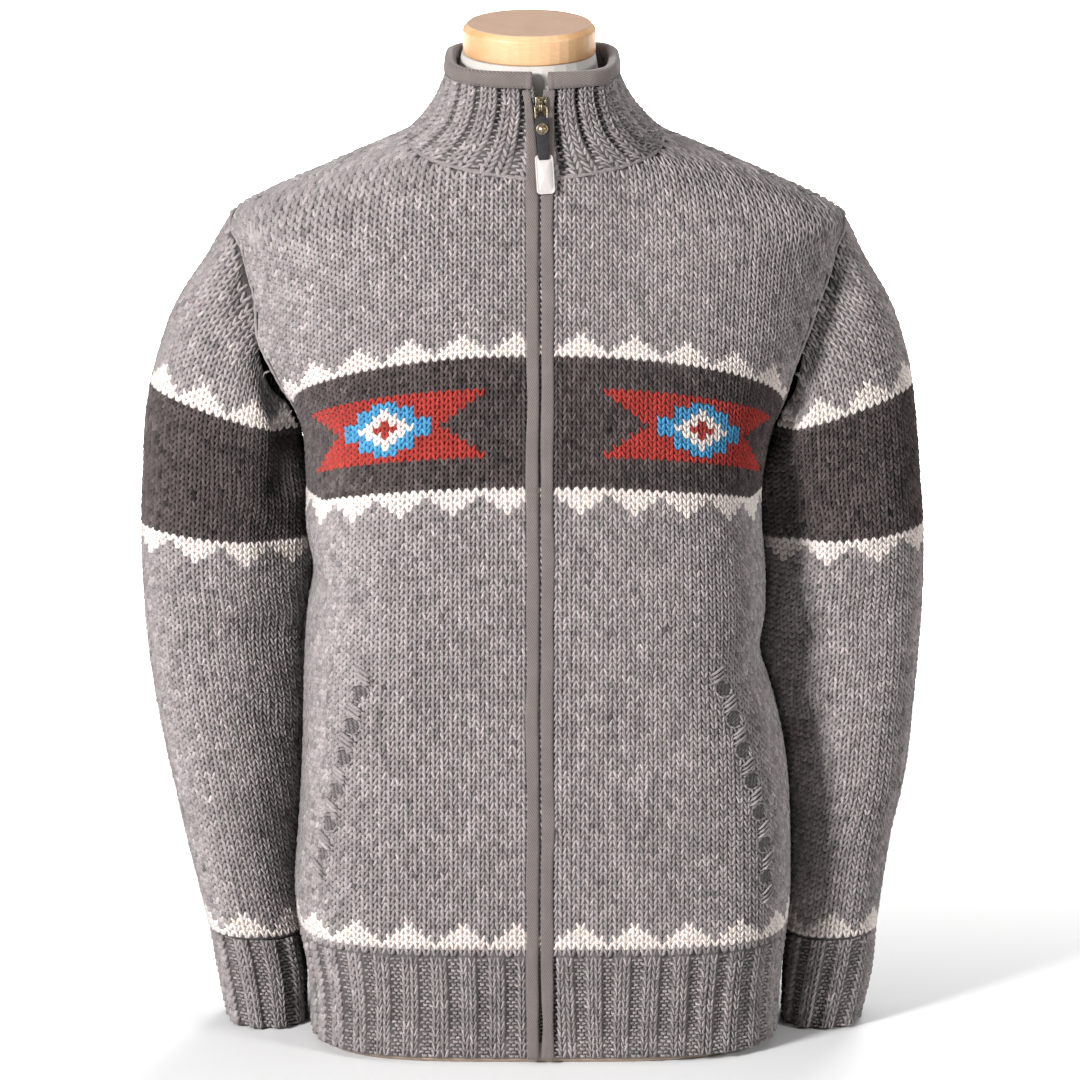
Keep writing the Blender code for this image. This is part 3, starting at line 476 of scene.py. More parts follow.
class Ground:
    """Knitted ground laid out flat: columns across and rows up. It turns flat places into places on
    the garment. With even, across is measured along each line from its place number zero; otherwise
    zero gives across for every place. Channels past the third ride along, such as the turn."""

    def __init__(self, curves, first_row, row_step, zero, low, high, step, centre, even=True):
        self.first_row, self.row_step, self.low, self.step = first_row, row_step, low, step
        across = np.arange(low, high + step / 2, step)
        made = np.empty((len(curves), len(across), curves.shape[2]))
        for row, line in enumerate(curves):
            if even:
                length = run_along(line[:, :3])
                length -= np.interp(zero, np.arange(len(line)), length)
            else:
                length = zero
            for channel in range(curves.shape[2]):
                made[row, :, channel] = np.interp(across, length, line[:, channel])
        self.grid = made
        self.out = self.normals(made[..., :3], centre)

    def normals(self, grid, centre):
        out = np.cross(np.gradient(grid, axis=1), np.gradient(grid, axis=0))
        size = np.linalg.norm(out, axis=-1, keepdims=True)
        away = grid - centre
        away[..., 2] = 0
        away = unit(away)
        out = np.where(size > 1e-12, unit(out), away)
        wrong = (out * away).sum(-1, keepdims=True) < -0.2
        return np.where(wrong, -out, out)

    def press(self, low_x, high_x):
        self.grid[..., :3] = pressed(self.grid[..., :3], self.out, low_x, high_x)

    def lower(self, amount):
        """Move the ground in along its normals, by an amount for each place."""
        self.grid[..., :3] -= self.out * amount[..., None]

    def at(self, across, row, lift=0.0):
        i = np.clip((np.asarray(row) - self.first_row) / self.row_step, 0, self.grid.shape[0] - 1.001)
        j = np.clip((np.asarray(across) - self.low) / self.step, 0, self.grid.shape[1] - 1.001)
        a, b = i.astype(int), j.astype(int)
        f, g = (i - a)[..., None], (j - b)[..., None]

        def mix(field):
            return ((field[a, b] * (1 - g) + field[a, b + 1] * g) * (1 - f)
                    + (field[a + 1, b] * (1 - g) + field[a + 1, b + 1] * g) * f)

        found = mix(self.grid)
        return found[..., :3] + unit(mix(self.out)) * np.asarray(lift)[..., None], found[..., 3:]


def body_depth(part, height):
    """How far the cloth lies under the garment's outline; less where the sleeve rests on the side."""
    beside = smooth(0.80, 0.94, np.abs(part)) * (1 - smooth(ARMPIT - 0.02, ARMPIT + 0.01, height))
    return UNDER - 0.0012 * beside


def sleeve_depth(angle, share):
    inner = smooth(math.radians(125), math.radians(160), np.abs(angle)) * smooth(0.03, 0.10, share)
    return UNDER - 0.0034 * inner


def body_ground(back):
    """Front or back of the body. Across is measured from the middle line; the channel is the turn
    from it."""
    parts = np.linspace(-1.14, 1.14, 457)
    turns = parts if not back else 2 + parts
    rows = np.arange(FIRST_ROW, LAST_ROW + 0.01, HALF)
    lines = []
    for row in rows:
        height = np.full(len(parts), float(read(ROW_HEIGHT, 1, row)))
        top = height.copy()
        droop, limit = float(read(ROW_DROOP, 1, row)), float(read(ROW_DROOP, 2, row))
        for _ in range(3):
            points = body(turns, height)
            length = run_along(points)
            length -= length[len(parts) // 2]
            height = top - droop * (np.minimum(np.abs(length), limit) / 0.2) ** 2.3
            height = np.maximum(height, 0.01)
        points = body(turns, height)
        lines.append(np.concatenate([points, parts[:, None]], 1))
    made = Ground(np.array(lines), FIRST_ROW, HALF, len(parts) // 2, -0.345, 0.345, GROUND_STEP, np.zeros(3))
    made.press(*BODY_CREASES)
    made.lower(body_depth(made.grid[..., 3], made.grid[..., 2]))
    return made


def leaned(points, hand, shares):
    """Sleeve places with the front half drawn back towards the body, as the cloth hangs there."""
    shares = np.asarray(shares)[:, None]
    x = hand * points[..., 0]
    middle, half = (x.max(1) + x.min(1))[:, None] / 2, (x.max(1) - x.min(1))[:, None] / 2
    inward = np.clip((middle - x) / half + 0.15, 0, 1.15) / 1.15
    front = np.clip(-(points[..., 1] - SLEEVE_MIDDLE) / 0.012, 0, 1)
    amount = SLEEVE_LEAN * smooth(0.10, 0.26, shares) * (1 - 0.8 * smooth(0.78, 0.90, shares))
    points = points.copy()
    points[..., 1] += amount * inward ** 1.4 * front
    return points


SLEEVE_SHARES = np.unique(np.concatenate([np.linspace(0, 0.3, 61), np.linspace(0.3, SLEEVE_END, 91)]))
SLEEVE_ANGLES = np.linspace(-math.pi, math.pi, 193)


def sleeve_ground(hand):
    """A sleeve, its columns measured from the outer line; channels are the share and the angle."""
    angles = SLEEVE_ANGLES * (1 if hand < 0 else -1)
    shell = leaned(sleeve(hand, SLEEVE_SHARES, angles), hand, SLEEVE_SHARES)
    rows = np.arange(-2, 118.01, HALF)
    outer = shell[:, len(angles) // 2]
    lines = []
    for row in rows:
        height, drop = float(read(SLEEVE_ROW, 1, row)), float(read(SLEEVE_ROW, 2, row))
        outer_x = np.interp(-height, -outer[:, 2], np.abs(outer[:, 0]))
        line = np.empty((len(angles), 5))
        for k in range(len(angles)):
            level = shell[:, k, 2] + drop * (outer_x - np.abs(shell[:, k, 0]))
            share = np.interp(-height, -level, SLEEVE_SHARES)
            for channel in range(3):
                line[k, channel] = np.interp(share, SLEEVE_SHARES, shell[:, k, channel])
            line[k, 3] = share
            line[k, 4] = angles[k]
        lines.append(line)
    middle = (shell[:, 0] + shell[:, len(angles) // 2]) / 2
    heights = np.interp(rows, SLEEVE_ROW[:, 0], SLEEVE_ROW[:, 1])
    centre = np.zeros((len(rows), 1, 3))
    centre[:, 0, 0] = np.interp(-heights, -middle[:, 2], middle[:, 0])
    centre[:, 0, 1] = SLEEVE_MIDDLE
    made = Ground(np.array(lines), -2, HALF, len(angles) // 2, -0.25, 0.25, GROUND_STEP, centre)
    made.press(*SLEEVE_CREASES)
    made.lower(sleeve_depth(made.grid[..., 4], made.grid[..., 3]))
    return made


def rib_shape(place, share, sharp):
    """1 on a rib's crest and 0 in the groove between two; place counts ribs, crests at whole numbers."""
    away = np.abs((np.asarray(place, float) + 0.5) % 1 - 0.5)
    return 1 - smooth(share - sharp, share + sharp, away)


def cuff_ground(hand):
    """A cuff: across counts its ribs, crests at whole numbers; rows from its edge up to its seam."""
    places = np.arange(-12, CUFF_RIBS * RIB_STEPS + 13) / RIB_STEPS
    sign = 1 if hand < 0 else -1
    slant = -0.30 if hand > 0 else 0.12
    rows = np.arange(0, CUFF_ROWS + 0.01, HALF)
    lines = []
    for row in rows:
        share = 1.0 - (1.0 - CUFF_START) * row / CUFF_ROWS
        turn = places + slant * (1 - row / CUFF_ROWS)
        lines.append(sleeve(hand, [share], sign * (turn / CUFF_RIBS * 2 * math.pi + math.pi))[0])
    made = Ground(np.array(lines), 0, HALF, places, -0.5, CUFF_RIBS + 0.5, 1 / RIB_STEPS,
                  np.mean(lines[0], axis=0), even=False)
    across = np.arange(made.grid.shape[1]) / RIB_STEPS - 0.5
    groove = 1 - rib_shape(across, 0.275, 0.07)
    made.lower(CUFF_CREST + RIB_GROOVE * groove[None, :] * np.ones((len(rows), 1)))
    return made


def hem_ground(back):
    """The hem's front or back, from side to side; across counts ribs from the middle."""
    rows = np.arange(0, HEM_ROWS + 0.01, HALF)
    parts = np.linspace(-1.0, 1.0, 401)
    lines = []
    for row in rows:
        height = HEM_LOW + (HEM_SEAM - 0.0004 - HEM_LOW) * row / HEM_ROWS
        near = np.minimum(1, np.abs(parts) / 0.08) * (1 - parts ** 2) * (1 - row / HEM_ROWS)
        sway = (0.010 * np.sin(7.3 * parts + 1.1) + 0.006 * np.sin(19.0 * parts)) * near
        points = body(parts + sway + (2 if back else 0), height)
        lines.append(np.concatenate([points, parts[:, None]], 1))
    made = Ground(np.array(lines), 0, HALF, parts * HEM_RIBS, -HEM_RIBS, HEM_RIBS, 1 / RIB_STEPS,
                  np.zeros(3), even=False)
    across = -HEM_RIBS + np.arange(made.grid.shape[1]) / RIB_STEPS
    shift = 0.0 if back else np.where(across > 0, HEM_SHIFT["hem_right"], HEM_SHIFT["hem_left"])
    groove = 1 - rib_shape(across + shift, 0.285, 0.07)
    fade = (1 - 0.6 * smooth(12.5, 15, rows)) * (0.25 + 0.75 * smooth(1.5, 4.5, rows))
    made.lower(RIB_CREST + RIB_GROOVE * groove[None, :] * fade[:, None])
    return made


def collar_ground():
    """The collar: across counts its ribs from the right edge of the zip round to the left."""
    rows = np.arange(0, COLLAR_ROWS + 0.01, HALF)
    places = np.linspace(0, COLLAR_RIBS, COLLAR_RIBS * RIB_STEPS + 1)
    lines = []
    for row in rows:
        share = row / COLLAR_ROWS
        first, last = collar_turn(1, share), 4 - collar_turn(-1, share)
        flare = 0.24 * max(0.0, 1 - share / 0.45) ** 1.5
        spread = places / COLLAR_RIBS + flare * np.sin(2 * math.pi * places / COLLAR_RIBS) / (2 * math.pi)
        lines.append(collar(first + (last - first) * spread, share))
    made = Ground(np.array(lines), 0, HALF, places, 0, COLLAR_RIBS, 1 / RIB_STEPS,
                  np.array([NECK_X, 0.0, 0.0]), even=False)
    groove = 1 - rib_shape(places, 0.40, 0.085)
    fade = np.interp(rows, [0, 1.5, 5, 13, 16], [0.10, 0.35, 1, 1, 0.35])
    made.lower(RIB_CREST + COLLAR_GROOVE * groove[None, :] * fade[:, None])
    return made


# ---------------------------------------------------------------- meshes

def piece(name, mesh, look, body_name="sweater_on_form"):
    obj = bpy.data.objects.new(name, mesh)
    bpy.context.scene.collection.objects.link(obj)
    mesh.materials.clear()
    mesh.materials.append(look)
    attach(obj, body_name)
    return obj


def shade(mesh, on=True):
    mesh.polygons.foreach_set("use_smooth", np.full(len(mesh.polygons), on))


def corners(mesh):
    found = np.empty(len(mesh.vertices) * 3)
    mesh.vertices.foreach_get("co", found)
    return found.reshape(-1, 3)


def set_corners(mesh, points):
    mesh.vertices.foreach_set("co", np.asarray(points, float).reshape(-1))
    mesh.update()


def paint(mesh, name, values):
    layer = mesh.color_attributes.new(name, "FLOAT_COLOR", "POINT")
    rows = np.ones((len(mesh.vertices), 4))
    rows[:, :3] = values
    layer.data.foreach_set("color", rows.reshape(-1))


def note(mesh, name, values):
    """A vector kept on each corner for the material to read."""
    layer = mesh.attributes.new(name, "FLOAT_VECTOR", "POINT")
    layer.data.foreach_set("vector", np.asarray(values, float).reshape(-1))


def flat_grid(columns, rows):
    """A plane of cells and the column and row number of each of its corners."""
    bm = bmesh.new()
    bmesh.ops.create_grid(bm, x_segments=columns, y_segments=rows, size=1.0)
    mesh = bpy.data.meshes.new("grid")
    bm.to_mesh(mesh)
    bm.free()
    number = np.rint((corners(mesh)[:, :2] + 1) / 2 * [columns, rows]).astype(int)
    return mesh, number[:, 0], number[:, 1]


def draped(points, joined=False):
    """A sheet through points [row, column]."""
    rows, columns = points.shape[:2]
    mesh, j, i = flat_grid(columns - 1, rows - 1)
    set_corners(mesh, points[i, j])
    if joined:
        bm = bmesh.new()
        bm.from_mesh(mesh)
        bmesh.ops.remove_doubles(bm, verts=bm.verts, dist=1e-6)
        bm.to_mesh(mesh)
        bm.free()
    shade(mesh)
    return mesh


def joined_mesh(name, meshes, weld=0.0):
    """Several meshes as one; corners nearer than weld become one."""
    bm = bmesh.new()
    for mesh in meshes:
        bm.from_mesh(mesh)
    if weld:
        bmesh.ops.remove_doubles(bm, verts=bm.verts, dist=weld)
    whole = bpy.data.meshes.new(name)
    bm.to_mesh(whole)
    bm.free()
    shade(whole)
    return whole


def thicken(obj, thickness):
    wall = obj.modifiers.new("wall", "SOLIDIFY")
    wall.thickness = thickness
    wall.offset = -1.0
    wall.use_even_offset = False
    return obj


def spindle(stations):
    """A closed three-sided yarn length, thin at its ends. Stations: where, across, along, lift,
    half-width, height, from one end to the other."""
    bm = bmesh.new()
    bmesh.ops.create_uvsphere(bm, u_segments=3, v_segments=len(stations) - 1, radius=1.0)
    rings = [math.cos(math.pi * k / (len(stations) - 1)) for k in range(len(stations))][::-1]
    for vert in bm.verts:
        number = int(np.argmin([abs(vert.co.z - z) for z in rings]))
        across, along, lift, wide, high = stations[number]
        angle = math.atan2(vert.co.y, vert.co.x)
        radial = math.hypot(vert.co.x, vert.co.y)
        turn_out, turn_side = (math.cos(angle), math.sin(angle)) if radial > 1e-5 else (0.0, 0.0)
        before = stations[max(number - 1, 0)]
        after = stations[min(number + 1, len(stations) - 1)]
        run = math.hypot(after[0] - before[0], after[1] - before[1])
        side = ((after[1] - before[1]) / run, -(after[0] - before[0]) / run)
        vert.co = (across + side[0] * turn_side * wide, along + side[1] * turn_side * wide,
                   lift + high * turn_out)
    bmesh.ops.recalc_face_normals(bm, faces=bm.faces)
    return bm


def yarn_shape(name, lengths):
    """One mesh of several yarn lengths; each corner keeps which length it is on, and where on it."""
    mesh = bpy.data.meshes.new(name)
    whole = bmesh.new()
    which = []
    for number, stations in enumerate(lengths):
        bm = spindle(stations)
        part = bpy.data.meshes.new("length")
        bm.to_mesh(part)
        which += [number] * len(bm.verts)
        bm.free()
        whole.from_mesh(part)
        bpy.data.meshes.remove(part)
    whole.to_mesh(mesh)
    whole.free()
    return mesh, np.array(which)


def leg(side, spread, low, high, wide, tall):
    """Stations of one leg of a knit stitch, its foot at the column's middle."""
    foot, head = side * spread * 0.03, side * spread * 0.485
    run = high - low
    return [
        (foot, low, -0.0002, 0.0, 0.0),
        (foot + (head - foot) * 0.20, low + run * 0.24, 0.0004, wide * 0.92, tall),
        (foot + (head - foot) * 0.74, low + run * 0.72, -0.0003, wide, tall * 0.95),
        (head, high, -0.0014, 0.0, 0.0),
    ]


def knit_shape(pitch, row, wide=0.0020, tall=0.0025):
    """Two legs of a stitch, in metres across and along."""
    low, high = -0.80 * row, 1.04 * row
    return yarn_shape("stitch", [leg(side, pitch, low, high, wide, tall) for side in (-1, 1)])


def purl_shape(pitch, row):
    """The two bumps of a purl stitch: bowed lengths lying across, the lower one between two columns."""
    bumps = []
    for middle, rise, bow in ((0.0, 0.22, 0.30), (pitch * 0.5, -0.28, -0.30)):
        bumps.append([
            (middle - pitch * 0.56, (rise - bow) * row, -0.0006, 0.0, 0.0),
            (middle - pitch * 0.24, (rise + 0.1 * bow) * row, 0.0002, 0.0017, 0.0019),
            (middle + pitch * 0.24, (rise + 0.1 * bow) * row, 0.0002, 0.0017, 0.0019),
            (middle + pitch * 0.56, (rise - bow) * row, -0.0006, 0.0, 0.0),
        ])
    return yarn_shape("bump", bumps)


def field(shape, columns, rows, pitch, row):
    """A shape repeated in columns and rows with arrays, as one mesh."""
    holder = bpy.data.objects.new("field", shape)
    bpy.context.scene.collection.objects.link(holder)
    for count, offset in ((columns, (pitch, 0, 0)), (rows, (0, row, 0))):
        array = holder.modifiers.new("repeat", "ARRAY")
        array.use_relative_offset = False
        array.use_constant_offset = True
        array.count = count
        array.constant_offset_displace = offset
    graph = bpy.context.evaluated_depsgraph_get()
    made = bpy.data.meshes.new_from_object(holder.evaluated_get(graph))
    bpy.data.objects.remove(holder)
    return made


def keep_only(mesh, wanted):
    """Drops the corners that aren't wanted."""
    bm = bmesh.new()
    bm.from_mesh(mesh)
    bm.verts.ensure_lookup_table()
    bmesh.ops.delete(bm, geom=[bm.verts[k] for k in np.flatnonzero(~wanted).tolist()], context="VERTS")
    bm.to_mesh(mesh)
    bm.free()


# Yarns, how dark each is painted on the cloth under the stitches as shade in the gaps between them, and how
# strongly each is flecked.
GREY = np.array([0.290, 0.258, 0.256])
CHARCOAL = np.array([0.072, 0.057, 0.055])
WHITE = np.array([0.70, 0.63, 0.595])
RED = np.array([0.35, 0.036, 0.028])
BLUE = np.array([0.060, 0.27, 0.47])
YARNS = np.array([GREY, CHARCOAL, WHITE, RED, BLUE])
UNDER_SHADE = np.array([0.66, 0.70, 1.0, 0.66, 0.66])
FLECK = np.array([0.28, 0.45, 0.03, 0.14, 0.14])


def yarn_colours(which, chance, slow):
    """Heathered colours for each yarn length: a skewed random shift for each stitch and a fleck here and
    there.
    """
    base = YARNS[which]
    shift = 1 + FLECK[which] * (chance.normal(0, 0.55, len(which)) + 0.6 * slow)
    warm = 1 + 0.012 * chance.normal(0, 1, (len(which), 3))
    return np.clip(base * shift[:, None] * warm, 0.004, 0.95)


def worked(ground, shape, columns, rows, pitch, row_length, inside, chart, seed, scale=1.0, place=None,
           tone=1.0):
    """Stitches worked over a ground. Shape lies flat in metres; scale turns metres across into the
    ground's own measure; inside says which stitches are kept, chart the yarn of each."""
    mesh_one, length_of = shape
    count = len(mesh_one.vertices)
    made = field(mesh_one, len(columns), len(rows), pitch, row_length)
    co = corners(made)
    which = np.arange(len(co)) // count
    column = which % len(columns)
    row = which // len(columns)
    own = co - np.stack([column * pitch, row * row_length, np.zeros(len(co))], 1)
    columns, rows = np.asarray(columns), np.asarray(rows)
    number = np.arange(len(columns) * len(rows))
    stitch_column, stitch_row = columns[number % len(columns)], rows[number // len(columns)]
    across = (stitch_column + 0.5) * pitch * scale if place is None else place(stitch_column)
    up = stitch_row + 0.5
    chance = np.random.default_rng(seed)
    jitter = chance.normal(0, 1, (len(number), 4))
    middle, channels = ground.at(across, up)
    wanted = inside(across, up, middle, channels)
    yarn = chart(stitch_column, stitch_row)
    lengths = length_of.max() + 1
    slow = np.interp(chance.uniform(0, 1, len(number)), [0, 0.12, 0.85, 1], [-1.0, -0.2, 0.2, 1.6])
    tones = [yarn_colours(yarn, chance, slow) for _ in range(lengths)]
    colour = np.stack(tones, 1) * tone
    part = np.tile(length_of, len(number))
    u = across[which] + own[:, 0] * scale + jitter[which, 0] * 0.00013 * scale
    v = up[which] + own[:, 1] / row_length + jitter[which, 1] * 0.022
    w = own[:, 2] * (1 + 0.05 * jitter[which, 2]) + 0.00012 * jitter[which, 3]
    place_now, _ = ground.at(u, v, w)
    set_corners(made, place_now)
    paint(made, "yarn", colour[which, part])
    ends = np.tile(corners(mesh_one), (len(number), 1))
    note(made, "lay", ends * LAY + np.outer(which, [LAY_APART, 0, 0]))
    keep_only(made, wanted[which])
    shade(made)
    return made


# ---------------------------------------------------------------- chart

GREY_NO, DARK_NO, WHITE_NO, RED_NO, BLUE_NO = range(5)
BAND_LOW, BAND_HIGH = 72, 93


def teeth(place, peak):
    """Height in stitches of a row of pointed teeth, six columns apart, highest at one column."""
    return 1 + np.abs(3 - (place - peak) % 6)


def motif(dx, dy):
    """Swallow-tailed bar with a stepped lozenge: yarn number, or -1 outside it."""
    ax, ay = np.abs(dx), np.abs(dy)
    made = np.where((ax <= 6) & (ay <= 5), RED_NO, -1)
    made = np.where((ax > 6) & (ax <= 11) & (ay <= 5) & (ay >= ax - 6), RED_NO, made)
    blue = ((ax <= 1) & (ay <= 4)) | ((ax <= 3) & (ay <= 3)) | ((ax <= 5) & (ay <= 1))
    made = np.where(blue, BLUE_NO, made)
    made = np.where(ax + ay <= 3, WHITE_NO, made)
    return np.where(ax + ay <= 1, RED_NO, made)


def band_chart(place, row, low, high, peak_low, peak_high):
    """Dark band between two toothed white borders that point away from it."""
    made = np.full(np.shape(place), GREY_NO)
    made = np.where((row >= low) & (row < high), DARK_NO, made)
    made = np.where((row >= high) & (row < high + teeth(place, peak_high)), WHITE_NO, made)
    return np.where((row < low) & (row >= low - teeth(place, peak_low)), WHITE_NO, made)


def front_chart(column, row):
    right = column >= 0
    place = np.where(right, column, -1 - column)
    made = band_chart(place, row, BAND_LOW, BAND_HIGH, np.where(right, 4, 3), np.where(right, 4, 2))
    found = motif(place - np.where(right, 18, 17), row - 82)
    made = np.where(found >= 0, found, made)
    return np.where((row >= 0) & (row < teeth(place, np.where(right, 4, 2))), WHITE_NO, made)


def back_chart(column, row):
    made = band_chart(column, row, BAND_LOW, BAND_HIGH, 4, 4)
    found = motif(np.abs(column + 0.5) - 17.5, row - 82)
    made = np.where(found >= 0, found, made)
    return np.where((row >= 0) & (row < teeth(column, 3)), WHITE_NO, made)


def sleeve_chart(column, row):
    made = band_chart(column, row, 66, 87, 3, 3)
    return np.where((row >= 0) & (row < teeth(column, 2)), WHITE_NO, made)


def plain_chart(column, row):
    return np.full(np.shape(column), GREY_NO)


# ---------------------------------------------------------------- materials

def nodes_of(name):
    look = bpy.data.materials.new(name)
    look.use_nodes = True
    tree = look.node_tree
    surface = tree.nodes["Principled BSDF"]
    return look, tree, surface


def tune(node, values):
    for key, value in values.items():
        node.inputs[key].default_value = value


def add(tree, kind, values=None, **settings):
    node = tree.nodes.new(kind)
    for key, value in settings.items():
        setattr(node, key, value)
    tune(node, values or {})
    return node


def noise(tree, vector, scale, detail=3.0, rough=0.6):
    node = add(tree, "ShaderNodeTexNoise", {"Scale": scale, "Detail": detail, "Roughness": rough})
    tree.links.new(vector, node.inputs["Vector"])
    return node.outputs["Fac"]


def ramp(tree, value, *stops):
    node = add(tree, "ShaderNodeValToRGB")
    tree.links.new(value, node.inputs["Fac"])
    points = node.color_ramp.elements
    while len(points) < len(stops):
        points.new(0.5)
    for point, (position, colour) in zip(points, stops):
        point.position = position
        point.color = (*colour, 1.0) if np.ndim(colour) else (colour, colour, colour, 1.0)
    return node.outputs["Color"]


def multiply(tree, first, second):
    node = add(tree, "ShaderNodeMix", {0: 1.0}, data_type="RGBA", blend_type="MULTIPLY")
    tree.links.new(first, node.inputs[6])
    tree.links.new(second, node.inputs[7])
    return node.outputs[2]


def bump(tree, height, strength, distance, under=None):
    node = add(tree, "ShaderNodeBump", {"Strength": strength, "Distance": distance})
    tree.links.new(height, node.inputs["Height"])
    if under is not None:
        tree.links.new(under, node.inputs["Normal"])
    return node.outputs["Normal"]


def object_place(tree, scale=(1, 1, 1), turn=(0, 0, 0)):
    where = add(tree, "ShaderNodeTexCoord")
    moved = add(tree, "ShaderNodeMapping", {"Scale": scale, "Rotation": turn})
    tree.links.new(where.outputs["Object"], moved.inputs["Vector"])
    return moved.outputs["Vector"]


def wool(name, darker=1.0):
    """Heathered wool: the yarn's own colour, pale and dark fibres in it, and its twist as fine ridges."""
    look, tree, surface = nodes_of(name)
    yarn = add(tree, "ShaderNodeVertexColor", layer_name="yarn")
    place = object_place(tree)
    fibres = object_place(tree, scale=(1, 1, 0.45), turn=(0.2, 0.35, 0.0))
    tone = ramp(tree, noise(tree, fibres, 900.0, 4.0, 0.75), (0.32, 0.64), (0.50, 0.96), (0.68, 1.34))
    patch = ramp(tree, noise(tree, place, 42.0, 3.0, 0.6), (0.3, 0.90), (0.7, 1.10))
    broad = ramp(tree, noise(tree, place, 9.0, 2.0, 0.5), (0.3, 0.95), (0.7, 1.05))
    colour = multiply(tree, yarn.outputs["Color"], tone)
    colour = multiply(tree, multiply(tree, colour, patch), broad)
    # Painted shade: the whole colour dimmed, for cloth that lies in the gaps between stitches.
    if darker < 1:
        dim = add(tree, "ShaderNodeRGB")
        dim.outputs[0].default_value = (darker, darker, darker, 1)
        colour = multiply(tree, colour, dim.outputs[0])
    tree.links.new(colour, surface.inputs["Base Color"])
    lay = add(tree, "ShaderNodeAttribute", attribute_name="lay")
    twist = add(tree, "ShaderNodeTexWave", {"Scale": 0.42, "Distortion": 1.2, "Detail": 1.0},
                wave_type="BANDS", bands_direction="DIAGONAL")
    tree.links.new(lay.outputs["Vector"], twist.inputs["Vector"])
    fuzz = noise(tree, place, 2600.0, 4.0, 0.75)
    normal = bump(tree, twist.outputs["Fac"], 0.35, 0.0004)
    normal = bump(tree, fuzz, 0.5, 0.0003, normal)
    tree.links.new(normal, surface.inputs["Normal"])
    tune(surface, {"Roughness": 0.95, "Specular IOR Level": 0.18, "Sheen Weight": 0.10,
                   "Sheen Roughness": 0.55, "Sheen Tint": (0.9, 0.88, 0.86, 1.0)})
    return look


def twill(name, colour, ribs=900.0, contrast=0.2, laid=False):
    """Fine diagonal weave of a woven tape; laid follows the piece's own length."""
    look, tree, surface = nodes_of(name)
    if laid:
        lay = add(tree, "ShaderNodeAttribute", attribute_name="lay")
        turned = add(tree, "ShaderNodeMapping", {"Rotation": (0, 0, math.radians(-24))})
        tree.links.new(lay.outputs["Vector"], turned.inputs["Vector"])
        place, scale = turned.outputs["Vector"], 0.25
    else:
        place, scale = object_place(tree, turn=(0, math.radians(38), 0)), ribs / 6.283
    lines = add(tree, "ShaderNodeTexWave", {"Scale": scale, "Distortion": 0.4, "Detail": 1.0},
                wave_type="BANDS", bands_direction="X", wave_profile="SIN")
    tree.links.new(place, lines.inputs["Vector"])
    grain = noise(tree, object_place(tree), 900.0, 3.0, 0.6)
    low, high = 1 - contrast, 1 + contrast * 0.6
    tone = ramp(tree, lines.outputs["Fac"], (0.15, low), (0.85, high))
    worn = ramp(tree, noise(tree, object_place(tree), 60.0, 3.0, 0.6), (0.3, 0.90), (0.7, 1.08))
    base = add(tree, "ShaderNodeRGB")
    base.outputs[0].default_value = (*colour, 1)
    tint = multiply(tree, multiply(tree, base.outputs[0], tone), worn)
    tint = multiply(tree, tint, ramp(tree, grain, (0.3, 0.88), (0.7, 1.12)))
    tree.links.new(tint, surface.inputs["Base Color"])
    normal = bump(tree, lines.outputs["Fac"], 0.5, 0.00025)
    normal = bump(tree, grain, 0.3, 0.0002, normal)
    tree.links.new(normal, surface.inputs["Normal"])
    tune(surface, {"Roughness": 0.9, "Sheen Weight": 0.15})
    return look


def metal(name, bright, dark):
    """Antique brass, darker and brighter in fine patches of noise."""
    look, tree, surface = nodes_of(name)
    place = object_place(tree)
    patina = ramp(tree, noise(tree, place, 700.0, 4.0, 0.65), (0.38, dark), (0.62, bright))
    tree.links.new(patina, surface.inputs["Base Color"])
    rough = ramp(tree, noise(tree, place, 900.0, 3.0, 0.6), (0.3, 0.28), (0.7, 0.50))
    tree.links.new(rough, surface.inputs["Roughness"])
    tree.links.new(bump(tree, noise(tree, place, 1600.0, 3.0, 0.6), 0.25, 0.0001), surface.inputs["Normal"])
    surface.inputs["Metallic"].default_value = 1.0
    return look


def leather_look(name):
    look, tree, surface = nodes_of(name)
    place = object_place(tree)
    grain = add(tree, "ShaderNodeTexVoronoi", {"Scale": 1500.0}, feature="DISTANCE_TO_EDGE")
    tree.links.new(place, grain.inputs["Vector"])
    colour = ramp(tree, noise(tree, place, 500.0, 3.0, 0.6), (0.35, (0.007, 0.0065, 0.0075)),
                  (0.7, (0.024, 0.022, 0.025)))
    tree.links.new(colour, surface.inputs["Base Color"])
    tree.links.new(bump(tree, grain.outputs["Distance"], 0.4, 0.0002), surface.inputs["Normal"])
    tune(surface, {"Roughness": 0.6, "Specular IOR Level": 0.3})
    return look


def tag_look(name):
    look, tree, surface = nodes_of(name)
    place = object_place(tree)
    colour = ramp(tree, noise(tree, place, 400.0, 3.0, 0.6), (0.3, (0.45, 0.41, 0.39)),
                  (0.7, (0.475, 0.435, 0.415)))
    tree.links.new(colour, surface.inputs["Base Color"])
    tree.links.new(bump(tree, noise(tree, place, 1800.0, 3.0, 0.6), 0.2, 0.0001), surface.inputs["Normal"])
    surface.inputs["Roughness"].default_value = 0.55
    return look


